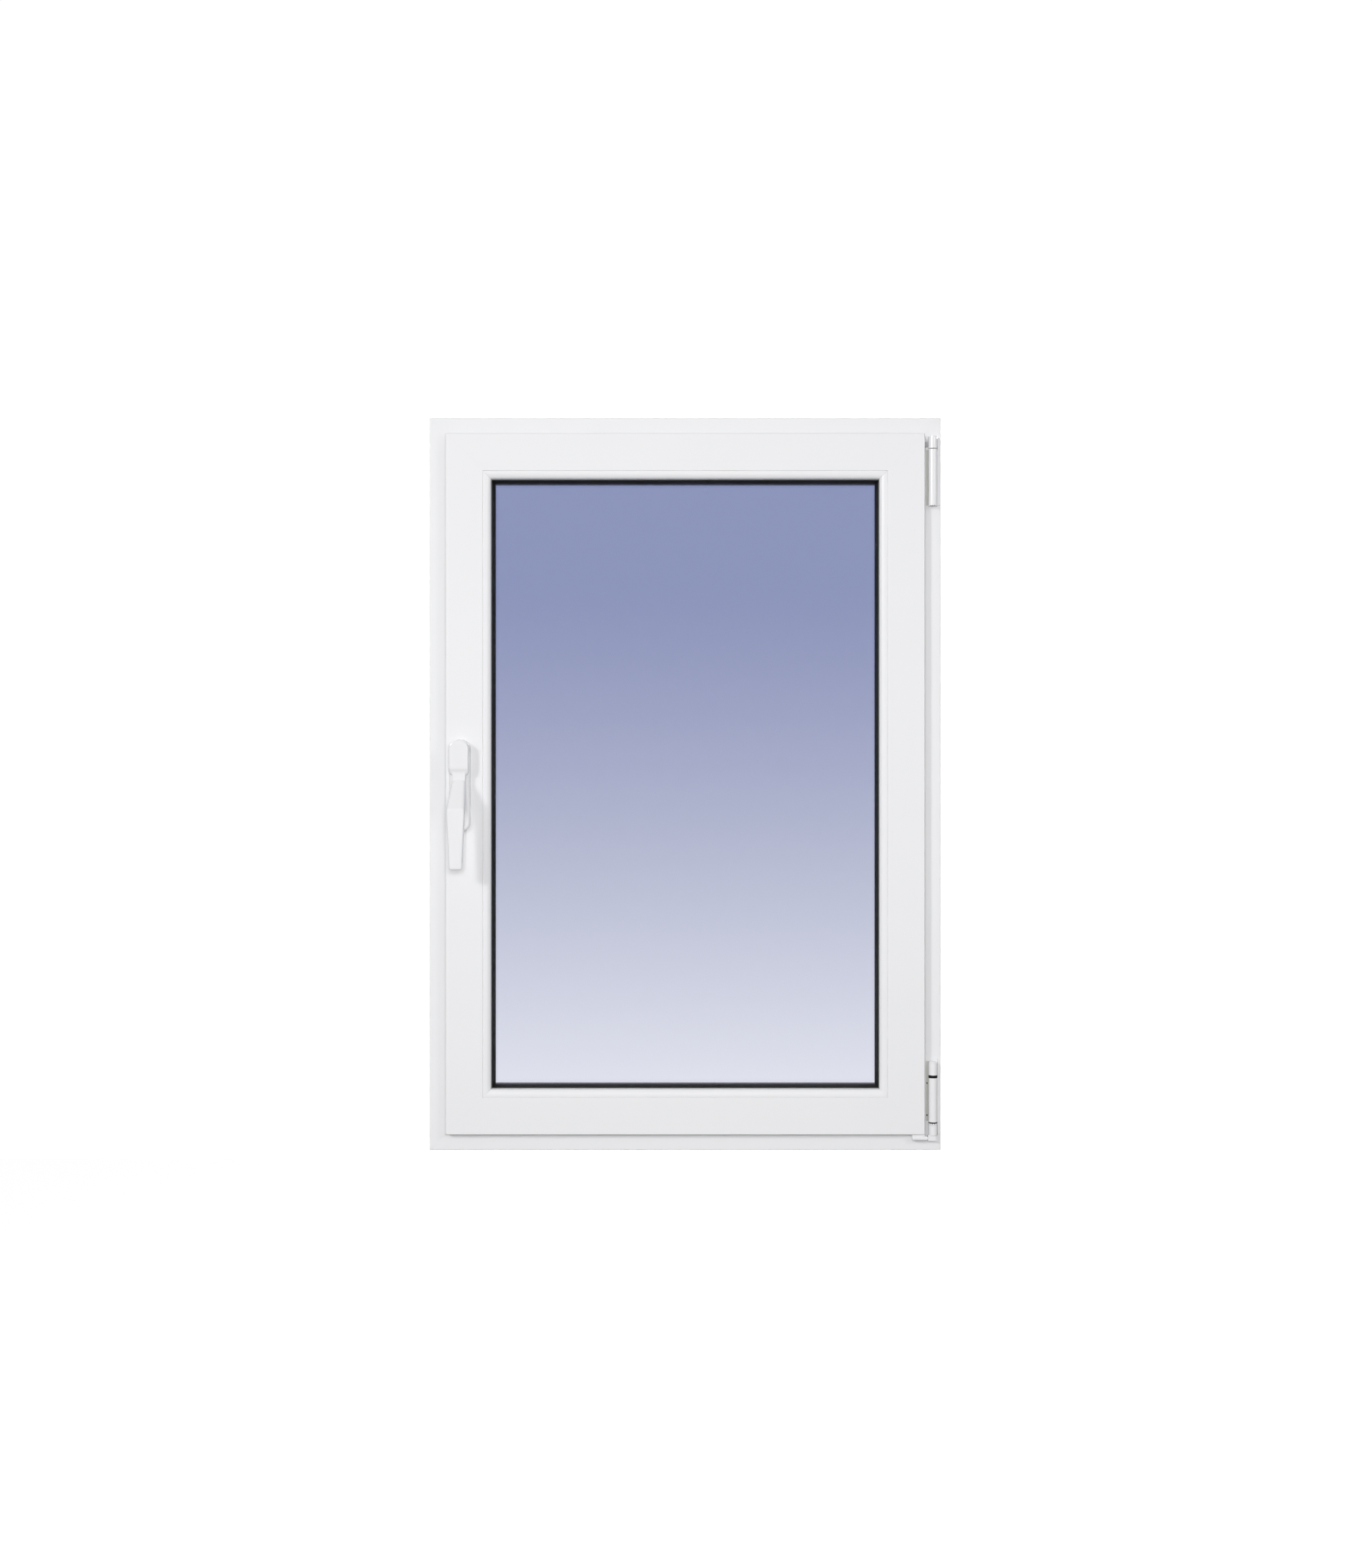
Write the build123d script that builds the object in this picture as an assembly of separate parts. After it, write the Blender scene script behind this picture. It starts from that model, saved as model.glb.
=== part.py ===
"""White aluminium tilt-and-turn casement window, in millimetres.

X runs right as seen from the room, +Y points outdoors, Z is up. The origin is the centre of the
sill's underside. Every bar's section is drawn in u, the distance inward from the frame's outer edge,
and v, which is Y. All rings share the mitre planes through the frame's outer corners.
"""

import os
from math import asin, cos, sin, sqrt

from build123d import *

# Overall sizes
FRAME_WIDTH = 700.0
FRAME_HEIGHT = 1003.0
FRAME_DEPTH = 45.0
MITRE_GAP = 0.1

# Frame section
WALL = 1.7
SASH_MARGIN = 23.0
FLAP_OVERLAP = 8.0
CHAMBER = 12.0
FIN_LENGTH = 21.0
FIN_THICKNESS = 3.0

# Sash section
FLAP_GAP = 5.0
FLAP_THICKNESS = 8.0
FIN_GAP = 5.0
SASH_TUBE = 31.0
BEAD_HEIGHT = 10.5
BEAD_STEP = 0.4
BEAD_FLAT = 2.6
BEAD_FALL = 5.0
LEG_THICKNESS = 3.0
GROOVE_MOUTH = 12.0
GROOVE_WIDTH = 16.0
GROOVE_LIP = 2.0
GROOVE_DEPTH = 8.0
GROOVE_CENTRE_V = -10.0

# Glazing
PANE = 4.0
CAVITY = 12.0
GLASS_EDGE_GAP = 4.0
SEAL_HEIGHT = 4.0
SPACER_HEIGHT = 5.0
OUTER_SEAL_GAP = 3.5
INNER_SEAL_GAP = 4.0
GASKET_NOSE = 4.0
LIP_CLEARANCE = 0.3

# Hinges
AXIS_INSET = 11.5
AXIS_STANDOFF = 7.5
BARREL_RADIUS = 6.0
PIN_RADIUS = 3.0
PIN_CLEARANCE = 0.05
FLANGE_THICKNESS = 3.0
UPPER_BARREL_LENGTH = 76.0
EYE_LENGTH = 16.5
EYE_GAP = 1.0
EYE_TOP_DROP = 26.5
PIVOT_BASE_Z = 22.0
PIVOT_BASE_LENGTH = 14.0
WASHER = 4.0
LOWER_BARREL_LENGTH = 60.0
CAP_LENGTH = 18.0
TILT_Z = 17.4
TILT_EYE_RADIUS = 3.3
TILT_PIN_RADIUS = 2.0
TILT_EYE_LENGTH = 20.5
END_RING = 1.8
SHIM_THICKNESS = 1.0
SHIM_INSET = 3.2

# Stay arm
STAY_REACH = 258.5
STAY_THICKNESS = 3.0
STAY_WIDTH = 16.0
NECK_THICKNESS = 2.4
SLIDER_RADIUS = 2.5
EYE_CORE_RADIUS = 4.4
COVER_TOP = 1.5
GUIDE_THICKNESS = 2.5
GUIDE_LENGTH = 185.0
GUIDE_SLOT = 10.0
GUIDE_TRAVEL = 26.0

# Lock
ROD_THICKNESS = 2.5
ROD_LENGTH = 700.0
BOLT_RADIUS = 4.5
BOLT_REACH = 5.0
LOCK_POINT_SPACING = 270.0
ROD_TRAVEL = 36.0
KEEP_LENGTH = 44.0
KEEP_THICKNESS = 3.5

# Handle
HANDLE_FROM_SASH_EDGE = 20.0
HANDLE_BASE_WIDTH = 29.5
HANDLE_BASE_HEIGHT = 127.0
HANDLE_BASE_DEPTH = 8.0
HANDLE_BASE_DROP = 38.2
HANDLE_BASE_TAPER = 10.0
HANDLE_AXIS_RISE = 35.7
HUB_WIDTH = 27.5
HUB_HEIGHT = 48.6
HUB_DEPTH = 10.0
HUB_GAP = 1.0
HUB_FALL = 9.0
HUB_FOOT = 4.5
HUB_CORNER = 6.0
HUB_EDGE_RADIUS = 2.4
SPINDLE_RADIUS = 6.0
SPINDLE_INSET = 3.0
LEVER_CLEARANCE = 5.0
GRIP_FRONT = 52.6
GRIP_THICKNESS = 10.0
GRIP_REACH = 150.8
GRIP_TOP_WIDTH = 24.6
GRIP_TIP_WIDTH = 17.5
BEND_DROP = 69.5
BEND_RADIUS = 6.0
NECK_STEP = 2.6
ARCH_DROP = 5.0
ARCH_WIDTH = 18.6
ARCH_RADIUS = 7.5
CREST_RADIUS = 4.0
CRANK_BACK_DROP = 7.4
LEVER_EDGE_RADIUS = 2.2

# Fixing holes and drain covers
FIXING_RADIUS = 4.0
FIXING_HEIGHT = 200.0
DRAIN_WIDTH = 30.0
DRAIN_HEIGHT = 9.0
DRAIN_DEPTH = 4.0
DRAIN_SPACING = 400.0

# Derived places in the section
ROOM_V = -FRAME_DEPTH / 2
OUT_V = FRAME_DEPTH / 2
REBATE_U = SASH_MARGIN + FLAP_OVERLAP
TUBE_U = REBATE_U + CHAMBER
FIN_U = REBATE_U + FIN_LENGTH
FIN_V = OUT_V - FIN_THICKNESS
FLAP_BACK_V = ROOM_V - FLAP_GAP
SASH_FACE_V = FLAP_BACK_V - FLAP_THICKNESS
SASH_OUT_V = FIN_V - FIN_GAP
FLOOR_U = TUBE_U + SASH_TUBE
SIGHT_U = FLOOR_U + BEAD_HEIGHT
LEG_V = SASH_OUT_V - LEG_THICKNESS
OUTER_PANE_V = LEG_V - OUTER_SEAL_GAP - PANE
INNER_PANE_V = OUTER_PANE_V - CAVITY - PANE
BEAD_BACK_V = INNER_PANE_V - INNER_SEAL_GAP
GLASS_U = FLOOR_U + GLASS_EDGE_GAP
AXIS_X = FRAME_WIDTH / 2 - AXIS_INSET
AXIS_Y = ROOM_V - AXIS_STANDOFF
HANDLE_X = -FRAME_WIDTH / 2 + SASH_MARGIN + HANDLE_FROM_SASH_EDGE
HANDLE_Z = FRAME_HEIGHT / 2 + HANDLE_AXIS_RISE

SIDES = ("sill", "head", "left", "right")


def side_plane(side):
    """Section plane of one side, with local x along u and local y along v."""
    half = FRAME_WIDTH / 2
    if side == "sill":
        return Plane((0, 0, 0), x_dir=(0, 0, 1), z_dir=(-1, 0, 0))
    if side == "head":
        return Plane((0, 0, FRAME_HEIGHT), x_dir=(0, 0, -1), z_dir=(1, 0, 0))
    if side == "left":
        return Plane((-half, 0, FRAME_HEIGHT / 2), x_dir=(1, 0, 0), z_dir=(0, 0, 1))
    return Plane((half, 0, FRAME_HEIGHT / 2), x_dir=(-1, 0, 0), z_dir=(0, 0, -1))


def mitre_prism(side, gap):
    """Region of the picture plane that belongs to one side, half a joint's gap short of each mitre plane."""
    slip = gap / sqrt(2)
    half = FRAME_WIDTH / 2
    top = FRAME_HEIGHT
    reach = FRAME_WIDTH * 0.4
    tip = half - reach
    corners = {
        "sill": [(-half + slip, 0), (half - slip, 0), (tip - slip, reach), (-tip + slip, reach)],
        "head": [(-half + slip, top), (half - slip, top), (tip - slip, top - reach), (-tip + slip, top - reach)],
        "left": [(-half, slip), (-tip, reach + slip), (-tip, top - reach - slip), (-half, top - slip)],
        "right": [(half, slip), (tip, reach + slip), (tip, top - reach - slip), (half, top - slip)],
    }[side]
    face = make_face(Polyline(*[(x, 0, z) for x, z in corners], close=True))
    return extrude(face, amount=FRAME_DEPTH * 4, dir=(0, 1, 0), both=True)


def solids_of(shape):
    """One solid, or a compound of them, from any result."""
    found = shape.solids()
    return found[0] if len(found) == 1 else Compound(found)


def bar(section, side, gap=MITRE_GAP):
    """One mitred bar of a ring, from a section drawn in u and v."""
    length = FRAME_WIDTH if side in ("sill", "head") else FRAME_HEIGHT
    placed = side_plane(side) * section
    return solids_of(extrude(placed, amount=length / 2 + 1, both=True) & mitre_prism(side, gap))


def ring(section):
    """A closed ring of four mitred bars fused into one solid."""
    bars = [bar(section, side, 0) for side in SIDES]
    return solids_of((bars[0] + bars[1:]).clean())


def poly(*points):
    """A face from a closed list of (u, v) corners."""
    return make_face(Polyline(*points, close=True))


def rect(u0, u1, v0, v1):
    """A rectangular face between two values of u and two of v."""
    return poly((u0, v0), (u1, v0), (u1, v1), (u0, v1))


def soften(face, radius, *points):
    """Round the corners of a face that lie at the given places."""
    chosen = []
    for u, v in points:
        chosen.append(min(face.vertices(), key=lambda c: (c.X - u) ** 2 + (c.Y - v) ** 2))
    return fillet(chosen, radius)


def block(x0, x1, y0, y1, z0, z1):
    """An upright box between two values on each axis."""
    return Pos((x0 + x1) / 2, (y0 + y1) / 2, (z0 + z1) / 2) * Box(x1 - x0, y1 - y0, z1 - z0)


def post(x, y, z0, z1, radius):
    """A vertical cylinder."""
    return Pos(x, y, (z0 + z1) / 2) * Cylinder(radius, z1 - z0)


def rod_x(x0, x1, y, z, radius):
    """A cylinder along X."""
    return Pos((x0 + x1) / 2, y, z) * Rot(0, 90, 0) * Cylinder(radius, x1 - x0)


def rod_y(x, y0, y1, z, radius):
    """A cylinder along Y."""
    return Pos(x, (y0 + y1) / 2, z) * Rot(90, 0, 0) * Cylinder(radius, y1 - y0)


def save(shape, name):
    """Write one node's solids."""
    export_step(solids_of(shape), f"parts/{name}.step")


def frame_section():
    """Two-chamber frame section with a fixing groove in the rebate and an outdoor fin."""
    outer = poly(
        (0, ROOM_V),
        (REBATE_U, ROOM_V),
        (REBATE_U, FIN_V),
        (FIN_U, FIN_V),
        (FIN_U, OUT_V),
        (0, OUT_V),
    )
    outer = soften(outer, 1.0, (0, ROOM_V), (REBATE_U, ROOM_V), (FIN_U, OUT_V))
    groove_half = GROOVE_MOUTH / 2
    groove = rect(REBATE_U - 3.0, REBATE_U + 1, GROOVE_CENTRE_V - groove_half, GROOVE_CENTRE_V + groove_half)
    undercut = rect(
        REBATE_U - 3.0,
        REBATE_U - 1.5,
        GROOVE_CENTRE_V - GROOVE_WIDTH / 2,
        GROOVE_CENTRE_V + GROOVE_WIDTH / 2,
    )
    web_v = GROOVE_CENTRE_V + GROOVE_WIDTH / 2 + WALL
    room_chamber = rect(WALL, REBATE_U - 3.0 - WALL, ROOM_V + WALL, web_v)
    out_chamber = rect(WALL, REBATE_U - WALL, web_v + WALL, OUT_V - WALL)
    return outer - groove - undercut - room_chamber - out_chamber


def sash_section():
    """Hollow sash section: flap, tube with hardware groove, glazing rebate and outdoor leg."""
    outer = poly(
        (SASH_MARGIN, SASH_FACE_V),
        (FLOOR_U, SASH_FACE_V),
        (FLOOR_U, LEG_V),
        (SIGHT_U, LEG_V),
        (SIGHT_U, SASH_OUT_V),
        (TUBE_U, SASH_OUT_V),
        (TUBE_U, FLAP_BACK_V),
        (SASH_MARGIN, FLAP_BACK_V),
    )
    outer = soften(outer, 1.5, (SASH_MARGIN, SASH_FACE_V))
    outer = soften(outer, 0.8, (FLOOR_U, SASH_FACE_V), (SIGHT_U, SASH_OUT_V), (TUBE_U, SASH_OUT_V))
    mouth_half = GROOVE_MOUTH / 2
    inner_half = GROOVE_WIDTH / 2
    mouth = rect(TUBE_U - 1, TUBE_U + GROOVE_LIP, GROOVE_CENTRE_V - mouth_half, GROOVE_CENTRE_V + mouth_half)
    pocket = rect(
        TUBE_U + GROOVE_LIP,
        TUBE_U + GROOVE_DEPTH,
        GROOVE_CENTRE_V - inner_half,
        GROOVE_CENTRE_V + inner_half,
    )
    flap_hollow = rect(SASH_MARGIN + WALL, TUBE_U + WALL, SASH_FACE_V + WALL, FLAP_BACK_V - WALL)
    tube_hollow = rect(TUBE_U + WALL, FLOOR_U - WALL, SASH_FACE_V + WALL, SASH_OUT_V - WALL)
    groove_wall = rect(
        TUBE_U,
        TUBE_U + GROOVE_DEPTH + WALL,
        GROOVE_CENTRE_V - inner_half - WALL,
        GROOVE_CENTRE_V + inner_half + WALL,
    )
    hollow = (tube_hollow - groove_wall) + flap_hollow
    return outer - hollow - mouth - pocket


def bead_section():
    """Clip-in glazing bead whose front rounds off towards the glass."""
    front_v = SASH_FACE_V + BEAD_STEP
    arc_u = FLOOR_U + BEAD_FLAT
    run = SIGHT_U - arc_u
    radius = (run**2 + BEAD_FALL**2) / (2 * BEAD_FALL)
    half_turn = asin(run / radius) / 2
    middle = (arc_u + radius * sin(half_turn), front_v + radius * (1 - cos(half_turn)))
    crest = (SIGHT_U, front_v + BEAD_FALL)
    sides = Polyline(crest, (SIGHT_U, BEAD_BACK_V), (FLOOR_U, BEAD_BACK_V), (FLOOR_U, front_v), (arc_u, front_v))
    front = ThreePointArc((arc_u, front_v), middle, crest)
    outer = make_face(sides.edges() + front.edges())
    outer = soften(outer, 0.8, (FLOOR_U, front_v))
    outer = soften(outer, 1.0, crest)
    hollow = rect(FLOOR_U + WALL, SIGHT_U - WALL, front_v + BEAD_FALL + WALL, BEAD_BACK_V - WALL)
    return outer - hollow


os.makedirs("parts", exist_ok=True)

# Frame bars, with the fixing holes through both walls of the jambs
section = frame_section()
save(bar(section, "sill"), "frame_sill")
save(bar(section, "head"), "frame_head")
fixing_v = GROOVE_CENTRE_V + GROOVE_WIDTH / 2 + 2 * WALL + 8.0
for side, name in (("left", "frame_left_jamb"), ("right", "frame_right_jamb")):
    jamb = bar(section, side)
    edge = -FRAME_WIDTH / 2 if side == "left" else FRAME_WIDTH / 2
    inner = edge + REBATE_U if side == "left" else edge - REBATE_U
    for z in (FIXING_HEIGHT, FRAME_HEIGHT - FIXING_HEIGHT):
        low, high = min(edge, inner) - 1, max(edge, inner) + 1
        jamb = jamb - rod_x(low, high, fixing_v, z, FIXING_RADIUS)
    save(jamb, name)

# Seal on the fin, with its lip just short of the sash
lip_u = (TUBE_U + FIN_U) / 2 + 1
save(
    ring(
        poly(
            (lip_u - 2.5, FIN_V),
            (lip_u - 1.0, SASH_OUT_V + LIP_CLEARANCE),
            (lip_u + 1.0, SASH_OUT_V + LIP_CLEARANCE),
            (lip_u + 2.5, FIN_V),
        )
    ),
    "frame_gasket",
)

# Drain covers outdoors, low on the sill
drains = []
for x in (-DRAIN_SPACING / 2, DRAIN_SPACING / 2):
    cover = block(
        x - DRAIN_WIDTH / 2,
        x + DRAIN_WIDTH / 2,
        OUT_V,
        OUT_V + DRAIN_DEPTH,
        REBATE_U / 2 - DRAIN_HEIGHT / 2,
        REBATE_U / 2 + DRAIN_HEIGHT / 2,
    )
    cover = chamfer(cover.faces().sort_by(Axis.Y)[-1].edges(), 1.2)
    drains.append(cover)
save(Compound(drains), "drain_covers")

# Sash bars
section = sash_section()
save(bar(section, "sill"), "sash_bottom_rail")
save(bar(section, "head"), "sash_top_rail")
save(bar(section, "left"), "sash_lock_stile")
save(bar(section, "right"), "sash_hinge_stile")

# Glazing beads
section = bead_section()
save(bar(section, "sill"), "bottom_bead")
save(bar(section, "head"), "top_bead")
save(bar(section, "left"), "left_bead")
save(bar(section, "right"), "right_bead")

# Glass unit
glass_width = FRAME_WIDTH - 2 * GLASS_U
glass_height = FRAME_HEIGHT - 2 * GLASS_U
for v, name in ((INNER_PANE_V, "inner_pane"), (OUTER_PANE_V, "outer_pane")):
    pane = block(-glass_width / 2, glass_width / 2, v, v + PANE, GLASS_U, GLASS_U + glass_height)
    save(pane, name)
cavity_v = INNER_PANE_V + PANE
save(ring(rect(GLASS_U, GLASS_U + SEAL_HEIGHT, cavity_v, OUTER_PANE_V)), "edge_seal")
spacer_u = GLASS_U + SEAL_HEIGHT
save(ring(rect(spacer_u, spacer_u + SPACER_HEIGHT, cavity_v, OUTER_PANE_V)), "spacer_bar")

# Glazing gaskets
nose_u = SIGHT_U + GASKET_NOSE
save(
    ring(
        poly(
            (GLASS_U, BEAD_BACK_V),
            (SIGHT_U, BEAD_BACK_V),
            (SIGHT_U, BEAD_BACK_V - 3.5),
            (SIGHT_U + 1.6, BEAD_BACK_V - 3.0),
            (nose_u, INNER_PANE_V - 1.0),
            (nose_u, INNER_PANE_V),
            (GLASS_U, INNER_PANE_V),
        )
    ),
    "inner_glazing_gasket",
)
save(
    ring(
        poly(
            (GLASS_U, OUTER_PANE_V + PANE),
            (nose_u - 1.0, OUTER_PANE_V + PANE),
            (nose_u - 1.0, OUTER_PANE_V + PANE + 0.8),
            (SIGHT_U + 0.8, LEG_V),
            (GLASS_U, LEG_V),
        )
    ),
    "outer_glazing_gasket",
)

# Flap seal, notched where the stay arm's neck crosses it
stay_top = FRAME_HEIGHT - (REBATE_U + TUBE_U) / 2 + STAY_THICKNESS / 2
stay_bottom = stay_top - STAY_THICKNESS
neck_low = stay_bottom - 2.0
neck_high = stay_top + 2.0
flap_u = SASH_MARGIN + 4.0
flap_seal = ring(
    poly(
        (flap_u - 2.0, FLAP_BACK_V),
        (flap_u + 2.0, FLAP_BACK_V),
        (flap_u + 1.0, ROOM_V - LIP_CLEARANCE),
        (flap_u - 1.0, ROOM_V - LIP_CLEARANCE),
    )
)
notch = block(
    FRAME_WIDTH / 2 - REBATE_U,
    FRAME_WIDTH / 2 - SASH_MARGIN,
    FLAP_BACK_V - 1,
    ROOM_V + 1,
    neck_low - 3.0,
    neck_high + 1.5,
)
save(flap_seal - notch, "flap_gasket")

# Upper hinge: barrel on a flange that carries on up beside the arm's eye, and its pin
eye_top = FRAME_HEIGHT - EYE_TOP_DROP
eye_bottom = eye_top - EYE_LENGTH
barrel_top = eye_bottom - EYE_GAP
barrel_bottom = barrel_top - UPPER_BARREL_LENGTH
edge_x = FRAME_WIDTH / 2
flange_v = ROOM_V - FLANGE_THICKNESS
side_x = AXIS_X + BARREL_RADIUS


def flange_plate(x0, z0, z1, drop):
    """Plate on the frame's face with a top edge that falls towards the frame's edge."""
    outline = make_face(
        Polyline((x0, 0, z0), (edge_x - 0.5, 0, z0), (edge_x - 0.5, 0, z1 - drop), (x0, 0, z1), close=True)
    )
    return Pos(0, flange_v, 0) * extrude(outline, amount=FLANGE_THICKNESS, dir=(0, 1, 0))


def hinge_barrel(z0, z1):
    """Barrel joined to the flange by a web on its outer side."""
    barrel = post(AXIS_X, AXIS_Y, z0, z1, BARREL_RADIUS)
    web = block(AXIS_X, side_x, AXIS_Y, ROOM_V, z0, z1)
    return barrel + web


bore = PIN_RADIUS
upper = hinge_barrel(barrel_bottom, barrel_top)
upper = upper + flange_plate(AXIS_X, barrel_bottom, barrel_top, 0)
upper = upper + flange_plate(side_x + 1.0, barrel_bottom, eye_top, 2.5)
upper = upper - post(AXIS_X, AXIS_Y, barrel_bottom - 1, barrel_top + 1, bore)
save(upper, "upper_hinge_barrel")
end_low = barrel_bottom - END_RING
end_ring = post(AXIS_X, AXIS_Y, end_low, barrel_bottom, BARREL_RADIUS)
save(end_ring - post(AXIS_X, AXIS_Y, end_low - 1, barrel_bottom + 1, bore), "upper_hinge_ring")
save(post(AXIS_X, AXIS_Y, end_low, eye_top - COVER_TOP - 0.3, PIN_RADIUS), "upper_hinge_pin")

# Lower hinge: fixed barrel and cap over a turning corner pivot
pivot_top = PIVOT_BASE_Z + PIVOT_BASE_LENGTH
lower_bottom = pivot_top + WASHER
lower_top = lower_bottom + LOWER_BARREL_LENGTH
cap_bottom = lower_top + WASHER
cap_top = cap_bottom + CAP_LENGTH
lower = hinge_barrel(lower_bottom, lower_top)
lower = lower + flange_plate(AXIS_X, lower_bottom, lower_top, 0)
lower = lower + flange_plate(side_x + 1.0, PIVOT_BASE_Z, cap_top + 4.0, 4.0)
lower = lower - post(AXIS_X, AXIS_Y, lower_bottom - 1, lower_top + 1, bore)
save(lower, "lower_hinge_barrel")
cap = post(AXIS_X, AXIS_Y, cap_bottom, cap_top, BARREL_RADIUS)
cap = cap - post(AXIS_X, AXIS_Y, cap_bottom - 1, cap_bottom + CAP_LENGTH / 2, bore)
cap = chamfer(cap.faces().sort_by(Axis.Z)[-1].edges(), 1.5)
save(cap, "lower_hinge_cap")
rings = []
for z in (pivot_top, lower_top):
    washer = post(AXIS_X, AXIS_Y, z, z + WASHER, BARREL_RADIUS)
    rings.append(washer - post(AXIS_X, AXIS_Y, z - 1, z + WASHER + 1, bore))
save(Compound(rings), "lower_hinge_washers")
shims = []
for z0, z1 in ((barrel_bottom, barrel_top), (lower_bottom, cap_top)):
    shim_x0 = edge_x - SASH_MARGIN + SHIM_INSET
    shims.append(block(shim_x0, AXIS_X, ROOM_V - SHIM_THICKNESS, ROOM_V, z0, z1))
save(Compound(shims), "hinge_shims")
pin_top = cap_bottom + CAP_LENGTH / 2
save(post(AXIS_X, AXIS_Y, PIVOT_BASE_Z + 1.0, pin_top, PIN_RADIUS), "lower_hinge_pin")

# Corner pivot: turns on the lower pin and carries the tilt pin under the sash
sash_edge_x = edge_x - SASH_MARGIN
eye_x1 = sash_edge_x + 3.5
eye_x0 = eye_x1 - TILT_EYE_LENGTH
pivot = post(AXIS_X, AXIS_Y, PIVOT_BASE_Z, pivot_top - 0.2, BARREL_RADIUS)
pivot = pivot - post(AXIS_X, AXIS_Y, PIVOT_BASE_Z + 0.9, pivot_top + 1, bore + PIN_CLEARANCE)
foot_low = TILT_Z - TILT_EYE_RADIUS
foot = block(
    eye_x1 + 1.0,
    AXIS_X + BARREL_RADIUS * 0.7,
    AXIS_Y - TILT_EYE_RADIUS,
    AXIS_Y + TILT_EYE_RADIUS,
    foot_low,
    PIVOT_BASE_Z,
)
tilt_pin = rod_x(eye_x0 + 2.0, eye_x1 + 2.0, AXIS_Y, TILT_Z, TILT_PIN_RADIUS)
save(pivot + foot + tilt_pin, "corner_pivot")

# Tilt eye under the sash's corner
eye = rod_x(eye_x0, eye_x1, AXIS_Y, TILT_Z, TILT_EYE_RADIUS)
eye = fillet(eye.faces().sort_by(Axis.X)[0].edges(), 0.9)
web = block(eye_x0, sash_edge_x, AXIS_Y - 2.5, AXIS_Y + 1.5, TILT_Z, SASH_MARGIN)
eye = eye + web
eye = eye - rod_x(eye_x0 + 1.5, eye_x1 + 1, AXIS_Y, TILT_Z, TILT_PIN_RADIUS + PIN_CLEARANCE)
save(eye, "tilt_eye")

# Stay arm: eye on the upper pin, thin neck behind the flap, flat bar and slider pin in the chamber
core_top = eye_top - COVER_TOP
arm = post(AXIS_X, AXIS_Y, eye_bottom, core_top, EYE_CORE_RADIUS)
neck_mid = (FLAP_BACK_V + ROOM_V) / 2
neck_front = neck_mid - NECK_THICKNESS / 2
neck_back = neck_mid + NECK_THICKNESS / 2
rebate_x = edge_x - REBATE_U
bar_x1 = rebate_x - 1.5
bar_back = GROOVE_CENTRE_V + STAY_WIDTH / 2 - 2.0
bar_front = bar_back - STAY_WIDTH
neck_plate = block(bar_x1 - 8.0, AXIS_X, neck_front, neck_back, neck_low, neck_high)
arm = arm + neck_plate
arm = arm + block(bar_x1 - 8.0, bar_x1, neck_front, bar_back, stay_bottom, stay_top)
slider_x = AXIS_X - STAY_REACH
arm = arm + block(slider_x, bar_x1 - 4.0, bar_front, bar_back, stay_bottom, stay_top)
slider_low = FRAME_HEIGHT - TUBE_U - GROOVE_DEPTH + 1.5
end_y = (bar_front + bar_back) / 2
arm = arm + post(slider_x, end_y, stay_bottom, stay_top, STAY_WIDTH / 2)
arm = arm + post(slider_x, GROOVE_CENTRE_V, slider_low, stay_top, SLIDER_RADIUS)
arm = arm - post(AXIS_X, AXIS_Y, eye_bottom - 1, eye_top + 1, PIN_RADIUS + PIN_CLEARANCE)
save(arm, "stay_arm")

# White cover over the arm's eye, open at the back for the neck
cover = post(AXIS_X, AXIS_Y, eye_bottom, eye_top, BARREL_RADIUS)
cover = chamfer(cover.faces().sort_by(Axis.Z)[-1].edges(), 0.8)
cover = cover - post(AXIS_X, AXIS_Y, eye_bottom - 1, core_top, EYE_CORE_RADIUS) - neck_plate
save(cover, "stay_eye_cover")

# Stay guide over the groove of the top rail, slotted for the slider
guide_low = FRAME_HEIGHT - TUBE_U
guide_high = guide_low + GUIDE_THICKNESS
guide_x1 = slider_x + GUIDE_TRAVEL + GUIDE_SLOT * 2
guide = block(
    guide_x1 - GUIDE_LENGTH,
    guide_x1,
    GROOVE_CENTRE_V - GROOVE_WIDTH / 2,
    GROOVE_CENTRE_V + GROOVE_WIDTH / 2,
    guide_low,
    guide_high,
)
slot_half = GUIDE_SLOT / 2
guide = guide - block(
    slider_x,
    slider_x + GUIDE_TRAVEL,
    GROOVE_CENTRE_V - slot_half,
    GROOVE_CENTRE_V + slot_half,
    guide_low - 1,
    guide_high + 1,
)
for x in (slider_x, slider_x + GUIDE_TRAVEL):
    guide = guide - post(x, GROOVE_CENTRE_V, guide_low - 1, guide_high + 1, slot_half)
save(guide, "stay_guide")

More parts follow.
